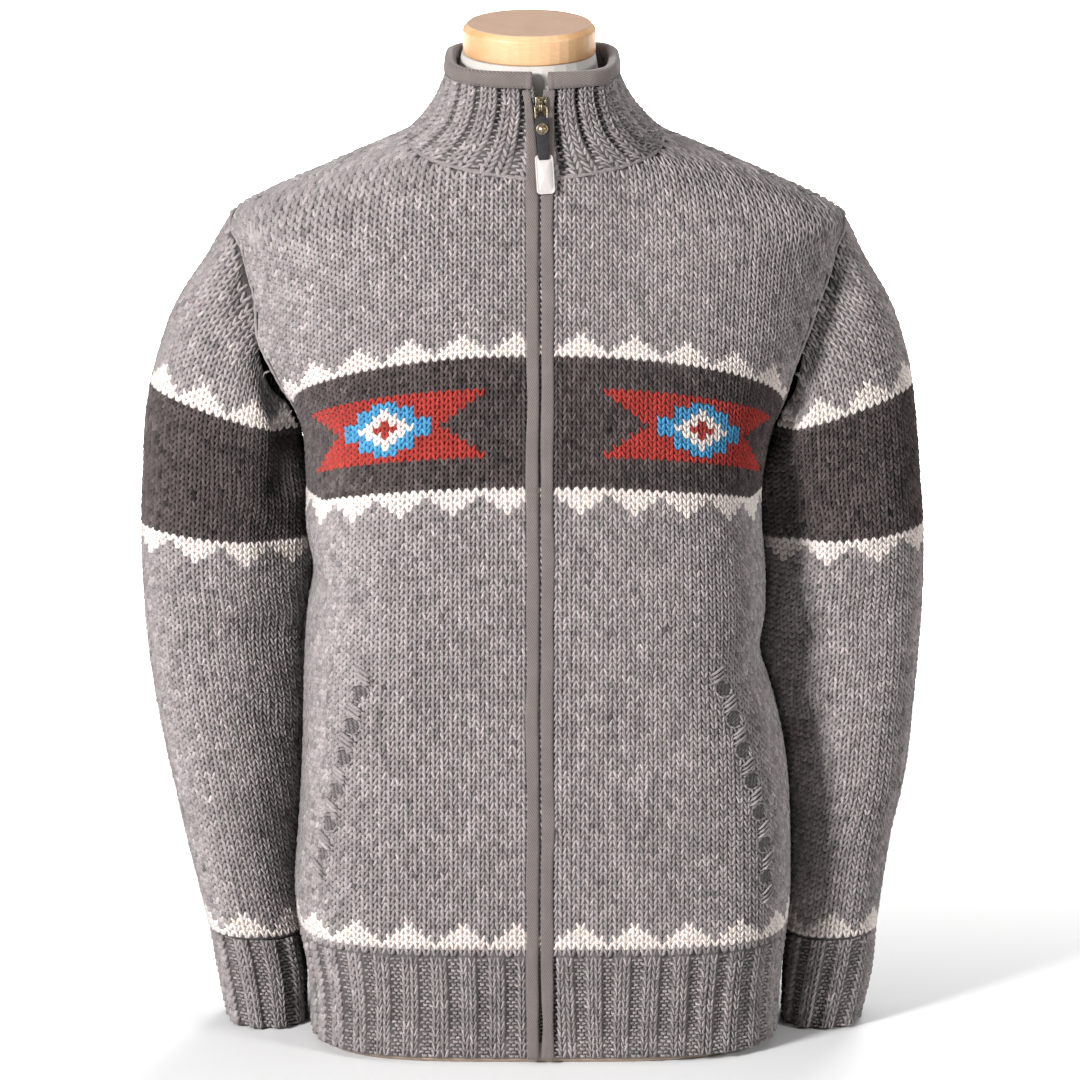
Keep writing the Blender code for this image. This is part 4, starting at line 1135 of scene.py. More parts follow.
def wood(name, pale, deep, top=None):
    """Pale lacquered wood with fine, slightly waved grain."""
    look, tree, surface = nodes_of(name)
    place = object_place(tree, scale=(1, 1, 9.0))
    rings = add(tree, "ShaderNodeTexWave", {"Scale": 9.0, "Distortion": 2.5, "Detail": 3.0,
                                            "Detail Scale": 1.2}, wave_type="BANDS", bands_direction="Y")
    tree.links.new(place, rings.inputs["Vector"])
    streaks = noise(tree, object_place(tree, scale=(3, 60, 60)), 12.0, 4.0, 0.65)
    colour = multiply(tree, ramp(tree, rings.outputs["Fac"], (0.2, deep), (0.8, pale)),
                      ramp(tree, streaks, (0.3, 0.90), (0.7, 1.06)))
    if top is not None:
        own = add(tree, "ShaderNodeTexCoord")
        split = add(tree, "ShaderNodeSeparateXYZ")
        tree.links.new(own.outputs["Object"], split.inputs["Vector"])
        high = add(tree, "ShaderNodeMapRange", {"From Min": 0.7972, "From Max": 0.7977})
        tree.links.new(split.outputs["Z"], high.inputs["Value"])
        # The top face above Z 0.7972 has its own darker colour, partly painted shade on the top and partly a
        # matt, uncoated finish.
        darker_top = ramp(tree, noise(tree, place, 60.0, 4.0, 0.7), (0.3, tuple(0.9 * c for c in top)), (0.7, top))
        both = add(tree, "ShaderNodeMix", data_type="RGBA")
        tree.links.new(high.outputs[0], both.inputs[0])
        tree.links.new(colour, both.inputs[6])
        tree.links.new(darker_top, both.inputs[7])
        colour = both.outputs[2]
        for socket, on_side, on_top in (("Roughness", 0.45, 0.85), ("Coat Weight", 0.12, 0.0),
                                        ("Specular IOR Level", 0.5, 0.04)):
            mixed = add(tree, "ShaderNodeMapRange", {"To Min": on_side, "To Max": on_top})
            tree.links.new(high.outputs[0], mixed.inputs["Value"])
            tree.links.new(mixed.outputs[0], surface.inputs[socket])
    else:
        tune(surface, {"Roughness": 0.38, "Coat Weight": 0.25})
    tree.links.new(colour, surface.inputs["Base Color"])
    tree.links.new(bump(tree, streaks, 0.08, 0.0002), surface.inputs["Normal"])
    surface.inputs["Coat Roughness"].default_value = 0.25
    return look


def jersey(name, cream):
    """Smooth stretched jersey over the form."""
    look, tree, surface = nodes_of(name)
    place = object_place(tree, scale=(1, 1, 0.5))
    lines = noise(tree, place, 1300.0, 2.0, 0.5)
    base = ramp(tree, noise(tree, object_place(tree), 30.0, 3.0, 0.6),
                (0.3, tuple(0.93 * c for c in cream)), (0.7, cream))
    colour = multiply(tree, base, ramp(tree, lines, (0.3, 0.93), (0.7, 1.04)))
    tree.links.new(colour, surface.inputs["Base Color"])
    tree.links.new(bump(tree, lines, 0.25, 0.0002), surface.inputs["Normal"])
    tune(surface, {"Roughness": 0.85, "Sheen Weight": 0.1})
    return look


WOOL = wool("grey_wool")
# The cloth under the stitches is painted half as dark, as shade in the gaps between the stitches.
WOOL_UNDER_SHADED = wool("grey_wool_ground_shaded", darker=0.5)
BINDING = twill("taupe_twill", (0.146, 0.120, 0.112), contrast=0.42, laid=True)
THREAD = twill("binding_thread", (0.110, 0.092, 0.086), 2600.0, 0.15)
TAPE = twill("zip_tape_weave", (0.035, 0.032, 0.032), 3200.0, 0.2)
BRASS = metal("aged_brass_metal", (0.38, 0.32, 0.21), (0.11, 0.09, 0.06))
TEETH = metal("zip_teeth_metal", (0.20, 0.17, 0.13), (0.07, 0.06, 0.045))
LEATHER = leather_look("dark_leather_grain")
TAG = tag_look("white_tag_card")
MAPLE = wood("maple_wood", (0.66, 0.40, 0.21), (0.58, 0.33, 0.155), top=(0.47, 0.325, 0.240))
BOARD = wood("board_wood", (0.34, 0.25, 0.19), (0.26, 0.19, 0.14))
JERSEY = jersey("form_jersey", (0.58, 0.545, 0.51))


# ---------------------------------------------------------------- body

def panel_sheet(hand, back):
    """The cloth under the stitches: half a body side from its middle line to its side."""
    low = np.linspace(HEM_SEAM + SEAM / 2, ARMPIT, 44)[:-1]
    middle = (ARMPIT + TIP) / 2 - (TIP - ARMPIT) / 2 * np.cos(np.linspace(0, math.pi, 28))
    steps = np.linspace(0, 1, 9)[1:]
    columns = 36
    turns, heights = [], []
    for height in np.concatenate([low, middle]):
        start = part_at_gap(hand, height, 0 if back else EDGE, back)
        end = float(np.interp(height, END_HEIGHTS, SIDE_ENDS[hand, back]))
        turns.append(np.linspace(start, end, columns))
        heights.append(np.full(columns, height))
    start = part_at_gap(hand, TIP, 0 if back else EDGE, back)
    end = 1 - part_at_gap(hand, TIP, SEAM / 2, back)
    for step in steps:
        turn = np.linspace(start, end, columns)
        turns.append(turn)
        heights.append(TIP + step * (neck_height(2 - turn if back else turn) - SEAM / 2 - TIP))
    turns, heights = np.array(turns), np.array(heights)
    around = hand * (2 - turns if back else turns)
    points = body(around, heights)
    out = np.cross(np.gradient(points, axis=1), np.gradient(points, axis=0))
    out = unit(out)
    if (out[..., 1] * (1 if back else -1)).mean() < 0:
        out = -out
    points = pressed(points, out, *BODY_CREASES) - out * body_depth(turns, heights)[..., None]
    if (hand > 0) == bool(back):
        points, around = points[:, ::-1], around[:, ::-1]
    return draped(points)


def find_rows(ground, points):
    """Distance across and row of some points, from the nearest place of the ground to each."""
    places = ground.grid[..., :3]
    tree = kdtree.KDTree(places.shape[0] * places.shape[1])
    for number, place in enumerate(places.reshape(-1, 3).tolist()):
        tree.insert(place, number)
    tree.balance()
    found = np.array([tree.find(point)[1] for point in points])
    i, j = np.divmod(found, places.shape[1])
    return ground.low + j * ground.step, ground.first_row + i * ground.row_step


FRONT = body_ground(0)
BACK = body_ground(1)

# Middle line of each pocket edge: distance from the zip and height, from the top down.
POCKETS = {
    -1: ((0.1355, 0.3062), (0.1418, 0.2803), (0.1481, 0.2529), (0.1541, 0.2263), (0.1605, 0.1996),
         (0.1667, 0.1722), (0.1712, 0.1475)),
    1: ((0.1365, 0.3080), (0.1463, 0.2830), (0.1545, 0.2580), (0.1608, 0.2335), (0.1670, 0.2070),
        (0.1730, 0.1805), (0.1762, 0.1545), (0.1768, 0.1290)),
}
# Half-width and half-height of the gaps along them.
GAP_HALF = (0.0074, 0.0062)


def pocket_places(hand):
    """The pocket's middle line as distance across and row on the front's ground."""
    turns = np.linspace(0, 1, 161)
    points = []
    for x, height in POCKETS[hand]:
        reach = np.abs(body(hand * turns, height)[:, 0])
        points.append(body(hand * np.interp(x, reach, turns), height))
    across, rows = find_rows(FRONT, np.array(points))
    return np.stack([across, rows], 1)


POCKET_PLACES = {hand: pocket_places(hand) for hand in (-1, 1)}


def in_pocket_gap(across, row):
    found = np.zeros(np.shape(across), bool)
    for hand in (-1, 1):
        centres = POCKET_PLACES[hand]
        for a, b in zip(centres[:-1], centres[1:]):
            middle = (a + b) / 2
            found |= (((across - middle[0]) / (GAP_HALF[0] + 0.0008)) ** 2
                      + ((row - middle[1]) * ROW_STEP / (GAP_HALF[1] + 0.0008)) ** 2) < 1
    return found


def inside_panel(back):
    """Which stitches lie on the fronts or the back, a little inside the edges."""
    def inside(across, row, middle, channels):
        part, height = np.abs(channels[:, 0]), middle[:, 2]
        left = channels[:, 0] > 0 if back else channels[:, 0] < 0
        left_end, right_end = [np.interp(height, END_HEIGHTS, SIDE_ENDS[hand, back]) for hand in (-1, 1)]
        kept = (part < np.where(left, left_end, right_end) - 0.005) & (row > -0.8)
        kept &= height < neck_height(2 - part if back else part) - 0.0015
        return kept if back else kept & (np.abs(across) > EDGE) & ~in_pocket_gap(across, row)

    return inside


def inside_sleeve(across, row, middle, channels):
    share, angle = channels[:, 0], channels[:, 1]
    return (share > 0.010) & (share < SLEEVE_END - 0.0011) & (np.abs(angle) < math.pi - 0.012) & (row > 0)


def everywhere(across, row, middle, channels):
    return np.full(len(across), True)


def colour_sheet(mesh, ground, chart):
    """The chart's colours on the cloth under the stitches, darker as painted shade in the gaps between them.
    """
    across, rows = find_rows(ground, corners(mesh))
    yarn = chart(np.floor(across / COLUMN).astype(int), np.floor(rows).astype(int))
    paint(mesh, "yarn", (YARNS * UNDER_SHADE[:, None])[yarn])
    note(mesh, "lay", corners(mesh) * LAY)


def one_grey(mesh, tone):
    paint(mesh, "yarn", GREY * tone)
    note(mesh, "lay", corners(mesh) * LAY)


STITCH = knit_shape(COLUMN, ROW)
SHEETS = {}


def flat_size(mesh):
    """The rectangle of a sheet's own height and area, and that area."""
    area = sum(p.area for p in mesh.polygons)
    co = corners(mesh)
    height = math.ceil(float(np.ptp(co[:, 2])) * 1030) / 1000
    return (round(area / height + 0.003, 3), height), round(area, 4)


def cloth_piece(name, mesh, thickness=CLOTH):
    """A panel's cloth, kept in SHEETS with its sizes and a list for the stitches on it."""
    cloth = thicken(piece("cloth_" + name, mesh, WOOL_UNDER_SHADED), thickness)
    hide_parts(name)
    SHEETS[name] = (cloth, *flat_size(mesh), [])


def knit_piece(name, mesh, sheet):
    knit = piece("stitches_" + name, mesh, WOOL)
    SHEETS[sheet][-1].append(knit)


def build_body():
    seeds = iter(range(101, 120))
    left, right = range(-BODY_COLUMNS, 0), range(0, BODY_COLUMNS)
    for side, hand, columns in (("left", -1, left), ("right", 1, right)):
        mesh = panel_sheet(hand, 0)
        colour_sheet(mesh, FRONT, front_chart)
        cloth_piece("front_" + side, mesh)
        stitches = worked(FRONT, STITCH, columns, BODY_ROWS, COLUMN, ROW, inside_panel(0), front_chart,
                          next(seeds))
        knit_piece("front_" + side, stitches, "front_" + side)
    mesh = joined_mesh("back", [panel_sheet(1, 1), panel_sheet(-1, 1)], weld=2e-5)
    colour_sheet(mesh, BACK, back_chart)
    cloth_piece("back_panel", mesh)
    for side, columns in (("left", right), ("right", left)):
        stitches = worked(BACK, STITCH, columns, BODY_ROWS, COLUMN, ROW, inside_panel(1), back_chart,
                          next(seeds))
        knit_piece("back_" + side, stitches, "back_panel")


build_body()


# ---------------------------------------------------------------- sleeves and cuffs

def build_sleeve(hand, side, seed):
    name, ground = "sleeve_" + side, sleeve_ground(hand)
    angles = np.linspace(-math.pi, math.pi, 61) * (1 if hand < 0 else -1)
    shares = np.concatenate([np.linspace(0, 0.3, 26)[:-1], np.linspace(0.3, SLEEVE_END, 42)])[::-1]
    points = leaned(sleeve(hand, shares, angles), hand, shares)
    out = np.cross(np.gradient(points, axis=1), np.gradient(points, axis=0))
    out[:, 0] = out[:, -1] = out[:, 0] + out[:, -1]
    out = unit(out)
    depth = sleeve_depth(angles[None, :], shares[:, None])
    mesh = draped(pressed(points, out, *SLEEVE_CREASES) - out * depth[..., None], joined=True)
    colour_sheet(mesh, ground, sleeve_chart)
    cloth_piece(name, mesh)
    stitches = worked(ground, STITCH, range(-SLEEVE_COLUMNS, SLEEVE_COLUMNS), SLEEVE_ROWS, COLUMN, ROW,
                      inside_sleeve, sleeve_chart, seed)
    knit_piece(name, stitches, name)


# Grey of the cloth under the ribs, darkened as painted shade in the grooves, and of the ribs' stitches.
RIB_UNDER_SHADE = 0.76
RIB_TONE = 0.93
# Width of one rib, for each ribbed part.
RIB_WIDTH = {"hem": 0.0236, "cuff": 0.0232, "collar": 0.0165}


def rib_cloth(name, ground, rows, columns, first, last, top, thickness=CLOTH):
    """The cloth of a ribbed part over its ground."""
    across, up = np.meshgrid(np.linspace(first, last, columns), np.linspace(0, top, rows))
    mesh = draped(ground.at(across, up)[0], joined=name.startswith("cuff"))
    one_grey(mesh, RIB_UNDER_SHADE)
    cloth_piece(name, mesh, thickness)


def rib_stitches(name, ground, groups, rows, seed, knit_pitch, purl_pitch, row_length):
    """Knit columns on the crests and purl bumps in the grooves. Groups: (place across, kind)."""
    made = []
    for kind, pitch in (("knit", knit_pitch), ("purl", purl_pitch)):
        places = np.array([place for place, of in groups if of == kind])
        if kind == "knit":
            shape = knit_shape(pitch, row_length, 0.00164, 0.0024)
        else:
            shape = purl_shape(pitch, row_length)
        made.append(worked(ground, shape, range(len(places)), range(rows), pitch, row_length, everywhere,
                           plain_chart, seed, 1 / RIB_WIDTH[name.split("_")[0]],
                           lambda column, at=places: at[column], RIB_TONE))
    knit_piece(name, joined_mesh(name, made), name)


def build_cuff(hand, side, seed):
    name, ground = "cuff_" + side, cuff_ground(hand)
    rib_cloth(name, ground, 14, CUFF_RIBS * 10 + 1, 0, CUFF_RIBS, CUFF_ROWS)
    groups = []
    for rib in range(CUFF_RIBS):
        groups += [(rib - 0.14, "knit"), (rib + 0.14, "knit"), (rib + 0.40, "purl"), (rib + 0.60, "purl")]
    rib_stitches(name, ground, groups, CUFF_ROWS, seed, 0.0064, 0.0050, 0.0056)


def build_hem(name, back, first, last, seed):
    ground = hem_ground(back)
    rib_cloth(name, ground, 15, int((last - first) * 10) + 1, first, last, HEM_ROWS)
    groups = []
    for rib in range(int(math.floor(first)), int(math.ceil(last)) + 2):
        for step, kind in ((-0.145, "knit"), (0.145, "knit"), (0.40, "purl"), (0.60, "purl")):
            at = rib + step - HEM_SHIFT[name]
            if first + 0.08 < at < last - 0.08:
                groups.append((at, kind))
    rib_stitches(name, ground, groups, HEM_ROWS - 1, seed, 0.0062, 0.0048, 0.0057)


def build_collar(seed):
    ground = collar_ground()
    rib_cloth("collar", ground, 18, COLLAR_RIBS * 10 + 1, 0, COLLAR_RIBS, COLLAR_ROWS, COLLAR_CLOTH)
    groups = []
    for rib in range(COLLAR_RIBS + 1):
        groups += [(rib + step, "knit") for step in (-0.20, 0.20) if 0.1 < rib + step < COLLAR_RIBS - 0.1]
        if rib < COLLAR_RIBS:
            groups.append((rib + 0.5, "purl"))
    rib_stitches("collar", ground, groups, COLLAR_ROWS, seed, 0.0064, 0.0040, 0.0054)


for hand, side in ((-1, "left"), (1, "right")):
    build_sleeve(hand, side, 201 + hand)
    build_cuff(hand, side, 211 + hand)
gap = EDGE / RIB_WIDTH["hem"]
build_hem("hem_left", 0, -HEM_RIBS, -gap, 221)
build_hem("hem_right", 0, gap, HEM_RIBS, 222)
build_hem("hem_back", 1, -HEM_RIBS, HEM_RIBS, 223)
build_collar(231)


# ---------------------------------------------------------------- trims

def trim(name, mesh, look, node, body_name="sweater_on_form"):
    """A finished piece in place of one of the solids."""
    obj = piece(name, mesh, look, body_name)
    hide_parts(node)


def closed_length(rings, around=False):
    """A closed mesh through rings of points; its two ends are rounded in, unless it runs around."""
    rings = np.asarray(rings, float)
    if around:
        rings = np.concatenate([rings, rings[:1]])
    else:
        middle = rings.mean(1, keepdims=True)
        swell = 0.25 * np.linalg.norm(rings - middle, axis=2).min(1)
        caps = []
        for at, inner in ((0, 1), (-1, -2)):
            away = middle[at] - middle[inner]
            tip = middle[at] + away / max(np.linalg.norm(away), 1e-30) * swell[at]
            caps.append([tip + 0 * rings[at], tip + 0.7 * (rings[at] - middle[at])])
        rings = np.concatenate([caps[0], rings, caps[1][::-1]])
    mesh = draped(np.concatenate([rings, rings[:, :1]], 1), joined=True)
    face_out(mesh)
    return mesh


def face_out(mesh):
    bm = bmesh.new()
    bm.from_mesh(mesh)
    bmesh.ops.recalc_face_normals(bm, faces=bm.faces)
    bm.to_mesh(mesh)
    bm.free()
    shade(mesh)


def on_front(across, height, away):
    """Places beside the front middle line: across, height and distance out from it."""
    height = np.asarray(height, float)
    slope = (front_line(height + 0.002) - front_line(height - 0.002)) / 0.004
    size = np.sqrt(1 + slope ** 2)
    return np.stack([across + 0 * height, front_line(height) - away / size, height + away * slope / size], -1)


def binding_profile():
    """Top of a binding from its inner edge to its outer one, then back underneath: its place across
    and its lift, 0 to 1."""
    top = np.linspace(0, 1, 15)
    lift = (1 - np.abs(2 * top - 1) ** 3.4) ** (1 / 2.4)
    lift = lift * (0.94 + 0.06 * np.cos((top - 0.3) * 5))
    under = np.array([0.9, 0.5, 0.1])
    return np.concatenate([top, under]), np.concatenate([lift, 0 * under])


def build_binding(hand, side):
    """Twill strip beside the zip, a little uneven, its top drawn aside."""
    heights = np.arange(0.0042, 0.7612, 0.0034)
    place, lift = binding_profile()
    opened = 0.0030 * np.clip((heights - 0.7473) / 0.0235, 0, 1)
    wave = 0.00030 * np.sin(heights * 33 + 1.3 * hand) + 0.00016 * np.sin(heights * 91 + 2.0 + hand)
    foot = (0.0011 if hand > 0 else 0.0006) * np.exp(-((heights - 0.032) / 0.013) ** 2)
    bulge = 0.0003 * np.exp(-((heights - 0.615) / 0.035) ** 2)
    inner = 0.0009 + wave * 0.8 + foot + opened + bulge
    outer = 0.0104 + wave + 0.00012 * np.sin(heights * 140) + opened
    outer += 0.0004 * np.sin(heights * 61 + 2 * hand)
    sway = 0.0001 * np.sin(heights * 37 + 0.4) + 0.00005 * np.sin(heights * 83)
    sway *= 1 - smooth(0.66, 0.70, heights)
    tall = 0.0021 + 0.00020 * np.sin(heights * 47 + hand) - 0.0006 * smooth(0.72, 0.735, heights)
    rings = []
    for k, height in enumerate(heights):
        apart = 0.0050 * float(smooth(0.700, 0.757, height)) if hand < 0 else 0.0
        across = inner[k] + apart + (outer[k] + 0.4 * apart - inner[k] - apart) * place
        rings.append(on_front(hand * across + sway[k], height, 0.0003 + tall[k] * lift * 0.9))
    mesh = closed_length(rings)
    note(mesh, "lay", corners(mesh)[:, [0, 2, 1]] * [hand * LAY, LAY, LAY])
    trim("twill_binding_" + side, mesh, BINDING, "binding_" + side)


def build_rim_binding():
    """The binding folded over the collar's rim, with its squared ends and a row of stitches."""
    first, last = collar_turn(1, 1.0), 4 - collar_turn(-1, 1.0)
    places = np.unique(np.concatenate([np.linspace(0.001, 0.03, 12), np.linspace(0.03, 0.97, 120),
                                       np.linspace(0.97, 0.999, 12)]))
    turns = first + (last - first) * places
    rim, bottom = collar(turns, 1.0), collar(turns, 0.865)
    out = np.cross(np.gradient(rim, axis=0), [0, 0, 1.0])
    out[:, 2] = 0
    out = unit(out)
    if (out * (rim - [NECK_X, NECK_Y, RIM])).sum(1).mean() < 0:
        out = -out
    # Share of the way up to the rim, rise and distance out, from the outer edge over to the inner one.
    shape = [(0, 0.0, 0.0006), (0, -0.0003, 0.0014), (0.10, 0.0, 0.0023), (0.5, 0.0, 0.0024),
             (1, -0.0012, 0.0022), (1, 0.0007, 0.0016), (1, 0.0018, -0.0006), (1, 0.0018, -WALL + 0.0006),
             (1, 0.0007, -WALL - 0.0016), (1, -0.0012, -WALL - 0.0022), (0.5, 0.0, -WALL - 0.0022),
             (0.10, 0.0, -WALL - 0.0021), (0, -0.0003, -WALL - 0.0012), (0.5, 0, -WALL - 0.0004),
             (1, 0.0002, -WALL + 0.0002), (1, 0.0002, 0.0002)]
    run = run_along(rim)
    end = np.minimum(run, run[-1] - run)
    lump = 0.00022 * np.sin(run * 420) + 0.00018 * np.sin(run * 173 + 1)
    lump += 0.0005 * np.exp(-((end - 0.0015) / 0.0018) ** 2)
    lump -= 0.0006 * np.exp(-((end - 0.0046) / 0.0009) ** 2)
    rings = []
    for k in range(len(turns)):
        ring = []
        for share, rise, away in shape:
            grow = lump[k] * (1 if away > 0.001 else -1 if away < -WALL - 0.001 else 0)
            ring.append(bottom[k] + (rim[k] - bottom[k]) * share + out[k] * (away + grow) + [0, 0, rise])
        rings.append(ring)
    mesh = closed_length(rings)
    co = corners(mesh)
    around = np.arctan2(co[:, 0] - NECK_X, -co[:, 1] + NECK_Y) * 68
    note(mesh, "lay", np.stack([co[:, 2] * LAY, around, 0 * co[:, 0]], 1))
    trim("twill_collar_binding", mesh, BINDING, "collar_binding")
    line = bottom + (rim - bottom) * 0.13 + out * 0.00245
    lengths = []
    for at in np.arange(0.006, run[-1] - 0.006, 0.0029):
        ends = [np.array([np.interp(at + step, run, line[:, c]) for c in range(3)])
                for step in (-0.0009, 0.0009)]
        lengths.append(thread(*ends, 0.00030))
    piece("rim_topstitch", joined_mesh("rim_topstitch", lengths), THREAD)


def thread(start, end, radius, sides=4):
    """A short rounded length of thread between two places."""
    along = unit(end - start)
    side = unit(np.cross(along, [0.3, 0.2, 1.0]))
    up = np.cross(along, side)
    angle = np.arange(sides) * 2 * math.pi / sides
    ring = radius * (np.cos(angle)[:, None] * side + np.sin(angle)[:, None] * up)
    return closed_length([start + ring, (start + end) / 2 + ring * 1.15, end + ring])


def block(size, centre, cut, steps=2):
    """A block with rounded edges in its own frame; size and centre are across, up and out."""
    bm = bmesh.new()
    bmesh.ops.create_cube(bm, size=1.0)
    bmesh.ops.scale(bm, vec=size, verts=bm.verts)
    bmesh.ops.bevel(bm, geom=bm.edges[:], offset=cut, segments=steps, profile=0.5, affect="EDGES",
                    material=-1)
    bmesh.ops.translate(bm, vec=centre, verts=bm.verts)
    mesh = bpy.data.meshes.new("block")
    bm.to_mesh(mesh)
    bm.free()
    return mesh


# From one tooth of the zip to the next.
TOOTH = 0.0030


def build_teeth():
    """Two rows of zip teeth that lock into each other, and the stops over the slider."""
    low, high = 0.0205, 0.737
    meshes = []
    for hand in (-1, 1):
        tooth = block((0.0036, 0.0013, 0.0026), (hand * 0.0014, 0, -0.0030), 0.0003, 1)
        count = int((high - low) / TOOTH)
        row = field(tooth, 1, count, TOOTH, TOOTH)
        co = corners(row)
        set_corners(row, on_front(co[:, 0], low + (0.5 * TOOTH if hand > 0 else 0) + co[:, 1], co[:, 2]))
        meshes.append(row)
    for hand in (-1, 1):
        stop = block((0.0026, 0.0034, 0.0024), (hand * 0.0043, 0.7572, -0.0004), 0.0005)
        co = corners(stop)
        set_corners(stop, on_front(co[:, 0], co[:, 1], co[:, 2]))
        meshes.append(stop)
    mesh = joined_mesh("zip_teeth", meshes)
    shade(mesh, False)
    trim("zip_teeth", mesh, TEETH, "zip_chain")


# The slider's middle, the pull's hinge out from it, the pull's lean and its slant to one side.
SLIDER_X = 0.0006
SLIDER_Z = 0.7470
HINGE_AWAY = 0.0063
LEAN = math.atan(0.28)
SLANT = math.radians(3.6)


def on_zip(points):
    """Places beside the slider's middle, given across, up along the zip and out from its front line."""
    points = np.asarray(points, float)
    low = NECK_FRONT + 0.55 * (RIM - NECK_FRONT)
    high = NECK_FRONT + 0.86 * (RIM - NECK_FRONT)
    depth = float(front_line(high) - front_line(low))
    rise = unit(np.array([0, depth, high - low]))
    out = np.array([0, -rise[2], rise[1]])
    share = (SLIDER_Z - low) / (high - low)
    middle = np.array([0, float(front_line(low)) + share * depth, SLIDER_Z])
    return middle + points[..., 1:2] * rise + points[..., 2:3] * out + points[..., :1] * np.array([1.0, 0, 0])


def build_slider():
    """The slider: a rounded plate with two side rails, and the grooved arch that holds the pull."""
    parts = [block((0.0092, 0.0155, 0.0019), (SLIDER_X, -0.00025, 0.0031), 0.0006, 3)]
    for side in (-1, 1):
        parts.append(block((0.0013, 0.0125, 0.0011), (SLIDER_X + side * 0.0036, -0.0006, 0.0042), 0.0004, 2))
    for mesh in parts:
        co = corners(mesh)
        narrow = 1 - 0.16 * smooth(0.001, -0.008, co[:, 1])
        co[:, 0] = SLIDER_X + (co[:, 0] - SLIDER_X) * narrow
        set_corners(mesh, on_zip(co))
    for side in (-1, 1):
        rings = []
        for step in np.linspace(-0.12, math.pi + 0.12, 22):
            ring = []
            for angle in np.arange(8) * math.pi / 4:
                across = SLIDER_X + side * 0.00062 + 0.00058 * math.cos(angle)
                reach = 0.0046 + 0.00070 * math.sin(angle)
                ring.append((across, reach * math.cos(step), 0.0041 + reach * 0.87 * math.sin(step)))
            rings.append(on_zip(ring))
        parts.append(closed_length(rings))
    trim("brass_slider", joined_mesh("slider", parts), BRASS, "zip_slider")


def placed(points):
    """Places of the hanging pull, given across, outwards and down from the hinge."""
    points = np.asarray(points, float)
    down = unit(np.array([math.sin(SLANT), -math.sin(LEAN), -math.cos(LEAN)]))
    across = unit(np.array([1.0, 0, 0]) - down * down[0])
    out = np.cross(down, across)
    if out[1] > 0:
        out = -out
    hinge = on_zip([[SLIDER_X, 0.0, HINGE_AWAY]])[0]
    return hinge + points[..., :1] * across + points[..., 1:2] * out + points[..., 2:3] * down


def pull_piece(name, mesh, look, node):
    trim(name, mesh, look, node, "zip_pull")


def rounded_corners(half, low, high, corner, steps):
    """Corner middles and angles on the way round a rounded rectangle of the pull."""
    for cx, cz, start in ((half - corner, low + corner, -90), (half - corner, high - corner, 0),
                          (-half + corner, high - corner, 90), (-half + corner, low + corner, 180)):
        for degrees in np.linspace(0, 90, steps):
            yield cx, cz, math.radians(start + degrees)


def build_pull():
    """Link, strap, rivet and tag, hanging from the slider's arch."""
    bar, corner = 0.0008, 0.0012
    rings = []
    for cx, cz, a in rounded_corners(0.0045, 0.0, 0.0088, corner, 7):
        x, z, ox, oz = cx + corner * math.cos(a), cz + corner * math.sin(a), math.cos(a), math.sin(a)
        rings.append(placed([(x + bar * math.cos(b) * ox, bar * math.sin(b), z + bar * math.cos(b) * oz)
                             for b in np.arange(10) * math.pi / 5]))
    pull_piece("brass_link", closed_length(rings, around=True), BRASS, "pull_link")

    inside, thick, top, end = 0.0011, 0.0010, 0.0088, 0.0405
    stations = [(1.0, z, 0.0) for z in np.linspace(end, 0.0100, 24)]
    stations += [(math.cos(a), top, math.sin(a)) for a in np.linspace(0.15, math.pi - 0.15, 10)]
    stations += [(-1.0, z, 0.0) for z in np.linspace(0.0100, end, 24)]
    rings = []
    for side, z, lift in stations:
        width = np.interp(z, [0, 0.0095, 0.0112, 0.0140, 0.0170, 0.0205, 0.0255, 0.0330, 0.0385, 0.0405],
                          [0.0031, 0.0033, 0.0050, 0.0056, 0.0063, 0.0050, 0.0045, 0.0046, 0.0046, 0.0036])
        ring = []
        for a in np.arange(16) * math.pi / 8:
            c, s = math.cos(a), math.sin(a)
            x = width * math.copysign(abs(c) ** 0.30, c)
            radius = inside + thick / 2 + thick / 2 * math.copysign(abs(s) ** 0.6, s)
            ring.append((x, side * radius, z - lift * radius))
        rings.append(placed(ring))
    pull_piece("leather_strap", closed_length(rings), LEATHER, "pull_strap")

    face = inside + thick + 0.0001
    profile = [(0.0043, -0.0001), (0.0046, 0.0005), (0.0044, 0.0011), (0.0037, 0.0011), (0.0034, 0.0009),
               (0.0032, 0.0014), (0.0026, 0.0020), (0.0016, 0.0024), (0.0006, 0.0025)]
    rings = [placed([(r * math.cos(a), face + y, 0.0170 + r * math.sin(a))
                     for a in np.arange(32) * math.pi / 16]) for r, y in profile]
    pull_piece("brass_rivet", closed_length(rings), BRASS, "pull_rivet")

    corner = 0.0030
    rings = []
    for inset, y in ((0.0010, -0.0007), (0.0003, -0.0008), (0.0, -0.0005), (0.0, 0.0005), (0.0003, 0.0008),
                     (0.0010, 0.0008)):
        rings.append(placed([(cx + (corner - inset) * math.cos(a), y, cz + (corner - inset) * math.sin(a))
                             for cx, cz, a in rounded_corners(0.0070, 0.0365, 0.0665, corner, 8)]))
    pull_piece("blank_tag", closed_length(rings), TAG, "pull_tag")


for hand, side in ((-1, "left"), (1, "right")):
    build_binding(hand, side)
build_rim_binding()
build_teeth()
build_slider()
build_pull()


# ---------------------------------------------------------------- pocket edges

def strand(stations, bow, ends, wide, tall):
    """A yarn length through four places, with the lift of its middle and of its ends."""
    first, second, third, last = stations
    return [(*first, ends, 0, 0), (*second, bow, wide, tall), (*third, bow, wide, tall), (*last, ends, 0, 0)]


